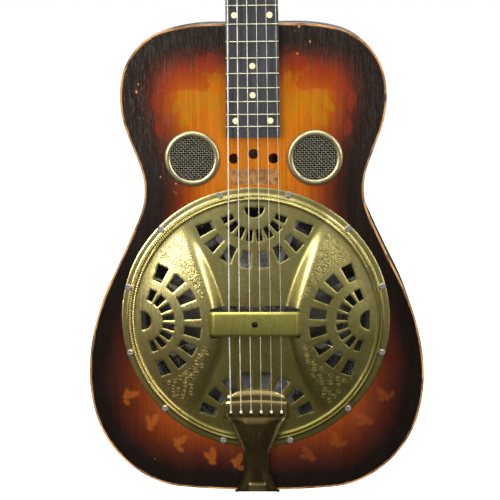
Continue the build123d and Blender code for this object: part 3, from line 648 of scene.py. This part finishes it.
for nodes, material in (
    (("side_bass", "side_treble"), SIDE_WOOD),
    (("neck",), NECK_WOOD),
    (("linings", "neck_block", "end_block", "soundwell", "neck_stick", "saddles"), INNER_WOOD),
    (("bindings",), BINDING_STUFF),
    (("fretboard",), BOARD_WOOD),
    (("frets",), FRET_METAL),
    (("position_dots",), PEARL),
    (("nut",), BONE),
    (("screen_rims",), RIM_BRASS),
    (("coverplate_screws", "tuner_plate_bass", "tuner_plate_treble", "tuner_plate_screws"), NICKEL),
    (("post_bushings", "end_pin"), NICKEL),
    ([f"post_{n}" for n in range(1, 7)] + [f"worm_{n}" for n in range(1, 7)], NICKEL),
    ([f"gear_{n}" for n in range(1, 7)], GEAR_METAL),
    ([f"button_{n}" for n in range(1, 7)], BUTTON_STUFF),
    (("cone", "spider"), ALUMINIUM),
    (("tension_screw",), STEEL),
    ([f"string_{n}" for n in range(1, 5)], WOUND_STRING),
    ([f"string_{n}" for n in range(5, 7)], PLAIN_STRING),
):
    for node in nodes:
        for material_slot in NODES[node].material_slots:
            material_slot.material = material


# ---------------------------------------------------------------- soundboard and back
def leaf(points, start, end, width, edge=1.6):
    """How far each point is inside a leaf from start to end: 0 outside it and 1 well inside."""
    start, end = np.array(start, float), np.array(end, float)
    along = end - start
    length = np.linalg.norm(along)
    along /= length
    across = np.array((-along[1], along[0]))
    t = (points - start) @ along / length
    off = np.abs((points - start) @ across)
    belly = width * np.sqrt(np.clip(np.sin(np.clip(t, 0, 1) * math.pi), 0, 1)) * (t > 0) * (t < 1)
    return smooth(belly - off, -edge / 2, edge / 2) * (belly > 0)


def fans(points, side):
    """The petals of one faded flower on the upper bout, and the small red leaves beside it."""
    best = np.zeros(len(points))
    root = np.array((side * 71, 236.0))
    for bearing in range(-58, 73, 13):
        angle = math.radians(90 - side * bearing)
        direction = np.array((math.cos(angle), math.sin(angle)))
        tip = root + direction * (36 - 0.08 * abs(bearing))
        best = np.maximum(best, leaf(points, root + direction * 7, tip, 5.2))
    best *= smooth(points[:, 1] + 0.011 * (points[:, 0] - side * 68) ** 2, 245, 247)
    for x, low, high, width in (
        (42, 262, 284, 6.5),
        (50, 264, 280, 5),
        (101, 222, 244, 4.5),
        (97, 196, 214, 4.5),
    ):
        best = np.maximum(best, leaf(points, (side * x, low), (side * (x + 2), high), width))
    return best


def sprigs(points, side):
    """The faded leaves under the flower."""
    best = np.zeros(len(points))
    for start, end, width in (
        ((50, 245), (40, 218), 5.5),
        ((50, 243), (76, 208), 7.5),
        ((64, 246), (84, 222), 5),
        ((34, 252), (39, 264), 3.5),
        ((33, 226), (37, 242), 4),
        ((31, 196), (35, 216), 3.5),
        ((29, 146), (33, 160), 4),
    ):
        best = np.maximum(best, leaf(points, (side * start[0], start[1]), (side * end[0], end[1]), width))
    return best


def tail_scrolls(points):
    """Leaf scrolls in an arc under the coverplate, more rubbed on the treble side."""
    best = np.zeros(len(points))
    for index, bearing in enumerate((212, 225, 239, 252, 263, 290, 303, 316, 329)):
        angle = math.radians(bearing)
        out = np.array((math.cos(angle), math.sin(angle)))
        along = np.array((-out[1], out[0]))
        middle = out * 160
        fade = 1.0 if index < 5 else 0.4
        turn = 1 if index % 2 else -1
        for start, end, width in (
            (middle - out * 9 - along * 2 * turn, middle + out * 9 + along * 4 * turn, 3.8),
            (middle - along * 9, middle + along * 1 + out * 6, 2.8),
            (middle + along * 8 + out * 8, middle - along * 1 + out * 9, 2.6),
        ):
            best = np.maximum(best, fade * leaf(points, start, end, width))
    return best


SMALL_HOLE = 20


def board(name, node, facing, finish, detailed):
    """A copy of a flat board, fine enough to carry the pattern of its lacquer."""
    low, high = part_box(node)
    thickness = high.y - low.y
    outer = low.y
    loops = []
    for loop in face_loops(node, low.y if facing < 0 else high.y, facing):
        middle = (loop.min(0) + loop.max(0)) / 2
        small = np.ptp(loop[:, 0]) < SMALL_HOLE and loops
        loops.append(circle(*middle, np.ptp(loop[:, 0]) / 2, 40) if small else resample(loop, 3.0))
    coarse = hex_grid((-185, -200), (185, 320), 4.5 if not detailed else 3.2)
    if detailed:
        fine = hex_grid((-130, 165), (130, 285), 1.5)
        arc = hex_grid((-165, -185), (165, -80), 1.6)
        arc = arc[np.abs(np.hypot(arc[:, 0], arc[:, 1]) - 161) < 15]
        in_fine = (np.abs(coarse[:, 0]) < 131) & (coarse[:, 1] > 164) & (coarse[:, 1] < 286)
        in_arc = (np.abs(np.hypot(coarse[:, 0], coarse[:, 1]) - 161) < 16) & (coarse[:, 1] < -79)
        coarse = np.concatenate((coarse[~in_fine & ~in_arc], fine, arc))
    keep = inside(coarse, loops[0])
    coarse = coarse[keep]
    for loop in loops:
        coarse = coarse[distance_to(coarse, loop) > 0.9]
    piece = cut_sheet(
        name,
        loops,
        coarse,
        lambda plan: np.stack(
            (plan[:, 0] * MM, np.full(len(plan), outer), PLATE_Z + plan[:, 1] * MM), 1
        ),
        thickness,
        finish,
        slot="sunburst_top" if detailed else "body_wood",
        replaces=(node,),
    )
    plan = plan_of(piece.data)
    paint(piece.data, "inset", (distance_to(plan, loops[0]) + 2) * MM)
    bare = plan[:, 0] * 0
    paint(piece.data, "red", np.maximum(fans(plan, -1), fans(plan, 1)) if detailed else bare)
    paint(piece.data, "olive", np.maximum(sprigs(plan, -1), sprigs(plan, 1)) if detailed else bare)
    paint(piece.data, "gold", tail_scrolls(plan) if detailed else bare)
    return piece


board("soundboard", "top", -1, TOP_FINISH, True)
board("back_board", "back", 1, BACK_SHADED_FINISH, False)

# ---------------------------------------------------------------- coverplate
CHANNEL_FOOT = 9.6
CHANNEL_FLARE = 0.5
CHANNEL_WAIST = 39.0
CHANNEL_STEEP = 1.43  # rise of the channel's walls for each millimetre across them
CHANNEL_H = 5.6
DOME_R = 129.5
FAN_R = 122.0
LOBE_POINTS = ((129.0, 0.0), (85.0, 12.0), (0.0, 17.0))


def arc_through(first, second, third):
    """Centre and radius of the circle through three points."""
    (ax, ay), (bx, by), (cx, cy) = first, second, third
    d = 2 * (ax * (by - cy) + bx * (cy - ay) + cx * (ay - by))
    a2, b2, c2 = ax * ax + ay * ay, bx * bx + by * by, cx * cx + cy * cy
    ux = (a2 * (by - cy) + b2 * (cy - ay) + c2 * (ay - by)) / d
    uy = (a2 * (cx - bx) + b2 * (ax - cx) + c2 * (bx - ax)) / d
    return ux, uy, math.hypot(ax - ux, ay - uy)


LOBE_ARC = arc_through(*LOBE_POINTS)


def soft_max(first, second, blend):
    gap = np.clip(0.5 + 0.5 * (first - second) / blend, 0, 1)
    return second + (first - second) * gap + blend * gap * (1 - gap)


def channel_side(x, z):
    """Distance from the foot of the string channel's wall, positive on the lobes."""
    return (np.abs(x) - CHANNEL_FOOT - CHANNEL_FLARE * np.sqrt(z * z + CHANNEL_WAIST**2)) * 0.93


def plate_height(x, z):
    """Height of the coverplate's outer face over the soundboard, in millimetres."""
    r = np.hypot(x, z)
    inner = CHANNEL_H - 4.2 * (r / DOME_R) ** 2
    ux, uy, radius = LOBE_ARC
    lobe = uy + np.sqrt(np.maximum(radius**2 - (np.minimum(r, 129) - ux) ** 2, 0))
    wall = channel_side(x, z)
    lobe = -soft_max(-lobe, -wall * CHANNEL_STEEP, 4.0 + 0.13 * np.abs(z))
    face = soft_max(lobe, inner, 2.6)
    ridges = 2.3 * np.exp(-(((r - 131.2) / 1.15) ** 2)) + 2.4 * np.exp(-(((r - 134.9) / 1.15) ** 2))
    rim = 1.0 + 0.4 * smooth(-r, -136.5, -134) + ridges - 0.5 * smooth(r, 142.4, PLATE_R)
    share = smooth(r, 127.5, 130.5)
    return face * (1 - share) + rim * share


def fan_loops():
    """The four fans of slots, each with a half-moon hole at its focus."""
    loops = []
    moon = [(10.5 * math.cos(t), 10.5 * math.sin(t)) for t in np.linspace(-math.pi, 0, 17)]
    shapes = [np.array(moon)]
    for ring, length, inner_w, outer_w in ((30.0, 12.4, 5.2, 7.0), (56.0, 17.8, 8.6, 12.2)):
        slot = fillet(
            [
                (-length / 2, -inner_w / 2),
                (length / 2, -outer_w / 2),
                (length / 2, outer_w / 2),
                (-length / 2, inner_w / 2),
            ],
            [0.7] * 4,
            closed=True,
        )
        for bearing in np.radians(np.linspace(-157, -23, 8)):
            c, s = math.cos(bearing), math.sin(bearing)
            shapes.append((slot + (ring, 0)) @ np.array(((c, s), (-s, c))))
    for quarter in range(4):
        bearing = quarter * math.pi / 2
        c, s = math.cos(bearing - math.pi / 2), math.sin(bearing - math.pi / 2)
        centre = FAN_R * np.array((math.cos(bearing), math.sin(bearing)))
        loops += [shape @ np.array(((c, s), (-s, c))) + centre for shape in shapes]
    return loops


OPENING = fillet([(-48.5, -16.5), (48.5, -16.5), (48.5, 16.5), (-48.5, 16.5)], [4] * 4, closed=True)
slots = [resample(loop, 1.6) for loop in fan_loops()]
holes = slots + [resample(OPENING, 2.0)]
RING_STEP = 2.6  # spacing of the points round the coverplate's rim
ring_radii = np.concatenate((np.arange(128.2, 137, 0.62), (138.5, 140.5, 142.0, 142.8)))
rings = [circle(0, 0, r, int(2 * math.pi * r / RING_STEP)) for r in ring_radii]
grid = hex_grid((-128, -128), (128, 128), 2.1)
grid = grid[np.hypot(grid[:, 0], grid[:, 1]) < 127.4]
shoulders = []
clear = np.ones(len(grid), bool)
for hole in holes:
    low, high = hole.min(0) - 1.6, hole.max(0) + 1.6
    near = np.all((grid > low) & (grid < high), 1)
    index = np.where(near)[0]
    clear[index[inside(grid[near], hole) | (distance_to(grid[near], hole) < 1.5)]] = False
    middle = hole.mean(0)
    out = hole - middle
    shoulders.append(hole + out / np.linalg.norm(out, axis=1)[:, None] * 0.5)
shoulders = np.concatenate(shoulders)


def plate_face(plan):
    x, z = plan[:, 0], plan[:, 1]
    height = plate_height(x, z)
    lip = np.zeros(len(plan))
    for hole in slots:
        low, high = hole.min(0) - 0.1, hole.max(0) + 0.1
        index = np.where(np.all((plan > low) & (plan < high), 1))[0]
        lip[index[distance_to(plan[index], hole) < 0.05]] = 0.2
    return np.stack((x * MM, -(height - lip) * MM, PLATE_Z + z * MM), 1)


plate = cut_sheet(
    "coverplate_pressing",
    [circle(0, 0, PLATE_R, 360)] + holes,
    np.concatenate(rings + [grid[clear], shoulders]),
    plate_face,
    0.9 * MM,
    PLATE_BRASS,
    sharp=50,
    slot="plate_brass",
    replaces=("coverplate",),
)
plate_plan = plan_of(plate.data)


def scroll_share(plan):
    """1 on the four engraved fields of the lobes, 0 elsewhere."""
    x, z = np.abs(plan[:, 0]), np.abs(plan[:, 1])
    r = np.hypot(x, z)
    bearing = np.degrees(np.arctan2(z, x))
    field = smooth(r, 52, 60) * smooth(-r, -125, -120)
    field = field * smooth(bearing, 20, 28) * smooth(channel_side(x, z), 12, 17)
    fan = np.hypot(x - FAN_R, z)
    return field * np.maximum(smooth(fan, 68, 73), smooth(bearing, 60, 66))


paint(plate.data, "scroll", scroll_share(plate_plan))
CHANNEL_PATINA = 0.34  # extra tarnish inside the string channel
lobe_share = smooth(channel_side(plate_plan[:, 0], plate_plan[:, 1]), -2, 12)
paint(plate.data, "patina", CHANNEL_PATINA - CHANNEL_PATINA * lobe_share)

CURL_TRIES = 6000
CURL_GAP = 6.2
CURL_STEPS = 24
random.seed(7)
curls = []
centres = []
for _ in range(CURL_TRIES):
    spot = np.array((random.uniform(-125, 125), random.uniform(-125, 125)))
    if scroll_share(spot[None])[0] < 0.8 or any(np.hypot(*(spot - c)) < CURL_GAP for c in centres):
        continue
    centres.append(spot)
    hand = random.choice((-1, 1))
    start = random.uniform(0, 2 * math.pi)
    run = []
    for step in range(CURL_STEPS):
        share = step / (CURL_STEPS - 1)
        radius = 0.5 + 2.7 * share
        angle = start + hand * share * 3.4 * math.pi
        x, z = spot + radius * np.array((math.cos(angle), math.sin(angle)))
        run.append(place(x, z, float(plate_height(np.array(x), np.array(z))) - 0.12))
    curls.append(run)
wire("scroll_engraving", curls, 0.3 * MM, SCROLL_BRASS, slot="plate_brass")

# ---------------------------------------------------------------- hand rest
REST_HALF_W = 13.4
REST_TOP = -PLATE_LOW.y / MM


def rest_face(plan):
    """The bar's outer face: crowned, its long edges turned down, its ends bent to the lobes."""
    x, z = plan[:, 0], plan[:, 1]
    sheet = 0.62 * (1 - (z / REST_HALF_W) ** 2) - 1.5 * smooth(np.abs(z), REST_HALF_W - 2.2, REST_HALF_W)
    drop = 7.2 * smooth(np.abs(x), 43, 53) + 0.25 * smooth(np.abs(x), 34, 45)
    height = REST_TOP - 0.65 + sheet - drop
    return np.stack((x * MM, -height * MM, PLATE_Z + z * MM), 1)


rest_loop = fillet(
    [(-52, -REST_HALF_W), (52, -REST_HALF_W), (52, REST_HALF_W), (-52, REST_HALF_W)], [7] * 4, closed=True
)
rest_hole = circle(0, 0, 3.4, 32)
rest_points = np.array([(x, z) for x in np.arange(-50, 50.1, 1.6) for z in np.arange(-12.6, 12.7, 0.9)])
rest_points = rest_points[np.hypot(rest_points[:, 0], rest_points[:, 1]) > 4.4]
rest_points = rest_points[inside(rest_points, rest_loop * 0.985)]
cut_sheet(
    "hand_rest",
    [resample(rest_loop, 1.6), rest_hole],
    rest_points,
    rest_face,
    1.1 * MM,
    REST_BRASS,
    sharp=50,
    slot="plate_brass",
)

# ---------------------------------------------------------------- woven screens
SCREEN_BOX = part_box("screen_meshes")
SCREEN_R = (SCREEN_BOX[1].z - SCREEN_BOX[0].z) / 2 / MM
SCREEN_Z = ((SCREEN_BOX[0].z + SCREEN_BOX[1].z) / 2 - PLATE_Z) / MM
SCREEN_X = SCREEN_BOX[1].x / MM - SCREEN_R
WEAVE_PITCH = 2.25
WEAVE_WIRE = 0.4
for name, centre_x in (("screen_weave_bass", -SCREEN_X), ("screen_weave_treble", SCREEN_X)):
    runs = []
    count = int((SCREEN_R - 0.6) / WEAVE_PITCH)
    for row in range(-count, count + 1):
        offset = row * WEAVE_PITCH
        reach = math.sqrt((SCREEN_R - 0.3) ** 2 - offset**2)
        steps = int(2 * reach / (WEAVE_PITCH / 4))
        for warp in (False, True):
            run = []
            for step in range(steps + 1):
                along = -reach + 2 * reach * step / steps
                wave = math.cos(math.pi * (along / WEAVE_PITCH + row + (1 if warp else 0)))
                x, z = (offset, along) if warp else (along, offset)
                run.append(place(centre_x + x, SCREEN_Z + z, 0.55 + 0.34 * wave))
            runs.append(run)
    wire(name, runs, WEAVE_WIRE * MM, WEAVE_METAL, slot="screen_wire", replaces=("screen_meshes",))

# ---------------------------------------------------------------- tailpiece
TAIL_SHEET = 1.5
TAIL_TOP = (TAIL_HIGH.z - PLATE_Z) / MM
TAIL_END = (TAIL_LOW.z - PLATE_Z) / MM + TAIL_SHEET / 2
STRAP_DEPTH = TAIL_HIGH.y / MM
PIN_DEPTH = BODY_DEPTH / 2 / MM
path = fillet(
    [
        (5.9, TAIL_TOP),
        (7.0, -79.6),
        (6.8, -86.0),
        (6.6, -104.0),
        (6.2, -130.0),
        (3.2, -172.0),
        (2.2, TAIL_END),
        (-STRAP_DEPTH, TAIL_END),
    ],
    [0.9, 6, 40, 60, 60, 2.6],
)
path_length = np.concatenate(([0], np.cumsum(np.hypot(*np.diff(path, axis=0).T))))
PATH_END = float(path_length[-1])
slopes = np.gradient(path, path_length, axis=0)
slopes /= np.hypot(slopes[:, 0], slopes[:, 1])[:, None]
BAR_HALF = 33  # half the width of the tailpiece's top bar
half = fillet(
    [
        (0, 0),
        (BAR_HALF, 0),
        (BAR_HALF, -29.8),
        (28, -36.8),
        (13.4, -69.8),
        (13.4, -91.8),
        (24.6, -120.8),
        (14, -PATH_END),
        (0, -PATH_END),
    ],
    [9, 3, 4, 28, 30, 4, 3],
)


def tail_half_width(run):
    sides = half[half[:, 0] > 10]
    return np.interp(run, -sides[:, 1], sides[:, 0])


def tail_face(plan):
    """Plan points (across, minus the length along the strap) on the tailpiece's outer face."""
    run = -plan[:, 1]
    arch = 4.5 * (plan[:, 0] / BAR_HALF) ** 2 * smooth(-run, -24, 0)
    share = np.abs(plan[:, 0]) / np.maximum(tail_half_width(run), 1)
    height = np.interp(run, path_length, path[:, 0])
    level = np.interp(run, path_length, path[:, 1]) - arch
    slope_h = np.interp(run, path_length, slopes[:, 0])
    slope_z = np.interp(run, path_length, slopes[:, 1])
    relief = 0.75 * bell(run, 5.5, 2.6) - 1.0 * bell(run, 10.6, 1.4)
    relief += 0.25 * bell(run, 17.5, 3.6) - 0.8 * smooth(run, 22.5, 25) * smooth(-run, -34, -30)
    strap = smooth(run, 30, 38) * smooth(-run, -118, -108)
    relief += strap * (2.2 * smooth(-share, -0.66, -0.3) - 1.0 * bell(share, 0.8, 0.1))
    relief += 0.6 * smooth(share, 0.9, 0.97) * smooth(run, 26, 34)
    tongue = smooth(-np.abs(plan[:, 0]), -11, -8)
    relief += 1.1 * tongue * smooth(run, 105, 109) * smooth(-run, -118, -114)
    relief -= 0.9 * smooth(share, 0.82, 1.0) * smooth(-run, -32, -24)
    lift = TAIL_SHEET / 2 + relief
    height = height - slope_z * lift
    level = level + slope_h * lift
    return np.stack((plan[:, 0] * MM, -height * MM, PLATE_Z + level * MM), 1)


tail_loop = np.concatenate((half[1:-1], (half[1:-1] * (-1, 1))[::-1]))
STRING_HALF = 27.4  # from the centre line to the outer strings' holes
tail_holes = [circle(-STRING_HALF + 2 * STRING_HALF * k / 5, -26.4, 2.6, 24) for k in range(6)]
pin_run = PATH_END - (STRAP_DEPTH - PIN_DEPTH)
tail_holes.append(circle(0, -pin_run, 4.1, 32))
tail_points = np.concatenate(
    (hex_grid((-BAR_HALF, -60), (BAR_HALF, 0), 1.1), hex_grid((-28, -PATH_END), (28, -60), 1.5))
)
tail_points = tail_points[inside(tail_points, tail_loop)]
tail_points = tail_points[distance_to(tail_points, resample(tail_loop, 6)) > 0.6]
for hole in tail_holes:
    tail_points = tail_points[~inside(tail_points, hole) & (distance_to(tail_points, hole) > 0.5)]
tail = cut_sheet(
    "tailpiece_pressing",
    [resample(tail_loop, 1.3)] + tail_holes,
    tail_points,
    tail_face,
    1.2 * MM,
    TAIL_BRASS,
    sharp=50,
    slot="tail_brass",
    replaces=("tailpiece",),
)

tail_co = plan_of(tail.data)
bar = smooth(tail_co[:, 1], -108, -98)
tongue = smooth(-np.abs(tail_co[:, 0]), -11, -8) * smooth(-tail_co[:, 1], 180, 186)
tail_share = np.abs(tail_co[:, 0]) / np.maximum(tail_half_width(-tail_co[:, 1]), 1)
# Painted highlight: bright streaks along the strap's flutes, painted as brass with less patina where the
# flutes would catch the lamps.
painted_flute_highlight = bell(tail_share, 0.62, 0.1) * smooth(-tail_co[:, 1], 32, 46) * smooth(tail_co[:, 1], -112, -84)
paint(tail.data, "patina", 1.05 - 0.9 * np.maximum(bar, np.maximum(0.8 * tongue, 0.75 * painted_flute_highlight)))

# ---------------------------------------------------------------- worn label and string windings
label = fillet([(-24.4, 146), (25.6, 146), (25.6, 162.5), (-24.4, 162.5)], [0.8] * 4, closed=True)
LABEL_STUFF = solid_stuff(
    "worn_label",
    linear(138, 98, 50),
    linear(92, 58, 24),
    0.4,
    130,
    Specular_IOR_Level=0.2,
)
cut_sheet(
    "worn_label",
    [resample(label, 2)],
    hex_grid((-22, 148), (23, 160), 3),
    lambda plan: np.stack((plan[:, 0] * MM, np.full(len(plan), -0.00012), PLATE_Z + plan[:, 1] * MM), 1),
    0.1 * MM,
    LABEL_STUFF,
    slot="sunburst_top",
)

HEAD_TILT = math.radians(14)
HEAD_FOOT = Vector((0, 0, 0.0052))
HEAD_UP = Vector((0, math.sin(HEAD_TILT), math.cos(HEAD_TILT)))
HEAD_OUT = Vector((0, -math.cos(HEAD_TILT), math.sin(HEAD_TILT)))
POST_R = 3.0
POST_X = 0.0215
POST_FIRST = 0.048
POST_PITCH = 0.037
WINDING_H = 6.5
WINDING_TURNS = 3
WINDING_STEPS = 20
for number, diameter in enumerate((1.42, 1.07, 0.81, 0.61, 0.46, 0.41), start=1):
    side = -1 if number < 4 else 1
    row = number - 1 if number < 4 else 6 - number
    centre = HEAD_FOOT + Vector((side * POST_X, 0, 0)) + HEAD_UP * (POST_FIRST + POST_PITCH * row)
    run = []
    for step in range(WINDING_TURNS * WINDING_STEPS + 1):
        angle = 2 * math.pi * step / WINDING_STEPS
        radius = (POST_R + diameter / 2) * MM
        height = (WINDING_H - diameter * 1.04 * angle / (2 * math.pi)) * MM
        across = Vector((-side * math.cos(angle), 0, 0)) + HEAD_UP * math.sin(angle)
        run.append(centre + across * radius + HEAD_OUT * height)
    wire(
        f"winding_{number}",
        [run],
        diameter / 2 * MM,
        WOUND_STRING if number < 5 else PLAIN_STRING,
        sides=2,
        body=f"post_{number}",
        slot="string_wire",
    )

# ---------------------------------------------------------------- floor, light and camera
floor = bpy.data.objects.new("floor", bpy.data.meshes.new("floor"))
bpy.context.scene.collection.objects.link(floor)
FLOOR_Z = CAD_BOX[0].z - 0.16
FLOOR_R = 14
disc = bmesh.new()
lowered = Matrix.Translation((0, 0, FLOOR_Z))
bmesh.ops.create_circle(disc, cap_ends=True, segments=96, radius=FLOOR_R, matrix=lowered)
disc.to_mesh(floor.data)
disc.free()
floor_paint = Finish("floor_paint", Roughness=0.9)
floor_paint.shader.inputs["Emission Color"].default_value = (1, 1, 1, 1)
floor_paint.shader.inputs["Emission Strength"].default_value = 0.55
floor.data.materials.append(
    floor_paint.done(floor_paint.mix(floor_paint.noise(3), (0.86, 0.86, 0.86, 1), (0.9, 0.9, 0.9, 1)))
)
floor.visible_glossy = False
floor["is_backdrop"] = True


def softbox(name, spot, target, width, height, power, tint=(1, 1, 1)):
    light = bpy.data.lights.new(name, "AREA")
    light.shape = "RECTANGLE"
    light.size = width
    light.size_y = height
    light.energy = power
    light.color = tint
    lamp = bpy.data.objects.new(name, light)
    bpy.context.scene.collection.objects.link(lamp)
    lamp.location = spot
    lamp.rotation_euler = (Vector(target) - Vector(spot)).to_track_quat("-Z", "Y").to_euler()


AIM = (0, 0, PLATE_Z + 0.05)
softbox("key", (-1.25, -1.45, 0.15), AIM, 0.9, 1.3, 34)
softbox("fill", (1.45, -1.15, 0.0), AIM, 0.5, 1.3, 15)
softbox("overhead", (0.0, -0.9, 1.3), AIM, 1.6, 0.8, 20)
softbox("back_fill", (0.5, 2.2, 0.6), AIM, 1.8, 1.4, 26)

world = bpy.data.worlds.new("studio")
bpy.context.scene.world = world
world.use_nodes = True
tree = world.node_tree
tree.nodes.clear()
output = tree.nodes.new("ShaderNodeOutputWorld")
chooser = tree.nodes.new("ShaderNodeMixShader")
rays = tree.nodes.new("ShaderNodeLightPath")
room = tree.nodes.new("ShaderNodeBackground")
paper = tree.nodes.new("ShaderNodeBackground")
direction = tree.nodes.new("ShaderNodeTexCoord")
split = tree.nodes.new("ShaderNodeSeparateXYZ")
fade = tree.nodes.new("ShaderNodeValToRGB")
lift = tree.nodes.new("ShaderNodeMapRange")
tree.links.new(direction.outputs["Generated"], split.inputs[0])
tree.links.new(split.outputs["Z"], lift.inputs[0])
lift.inputs[1].default_value = -1
tree.links.new(lift.outputs[0], fade.inputs[0])
stops = fade.color_ramp.elements
stops[0].position, stops[0].color = 0.36, (0.1, 0.1, 0.1, 1)
stops[1].position, stops[1].color = 0.75, (0.7, 0.7, 0.7, 1)
tree.links.new(fade.outputs["Color"], room.inputs["Color"])
paper.inputs["Color"].default_value = (1, 1, 1, 1)
tree.links.new(rays.outputs["Is Camera Ray"], chooser.inputs[0])
tree.links.new(room.outputs[0], chooser.inputs[1])
tree.links.new(paper.outputs[0], chooser.inputs[2])
tree.links.new(chooser.outputs[0], output.inputs["Surface"])
bpy.context.scene.view_settings.view_transform = "Standard"

lens = bpy.data.cameras.new("photo_view")
lens.lens = 95.41
lens.sensor_width = 36
camera = bpy.data.objects.new("photo_view", lens)
bpy.context.scene.collection.objects.link(camera)
forward = Vector((-0.0364, 0.9791, -0.2003)).normalized()
right = forward.cross(Vector((0.0047, 0.2007, 0.9796))).normalized()
up = right.cross(forward)
turn = Matrix((right, up, -forward)).transposed().to_4x4()
camera.matrix_world = Matrix.Translation((0.0462, -1.3741, -0.2691)) @ turn
bpy.context.scene.camera = camera

low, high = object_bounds()
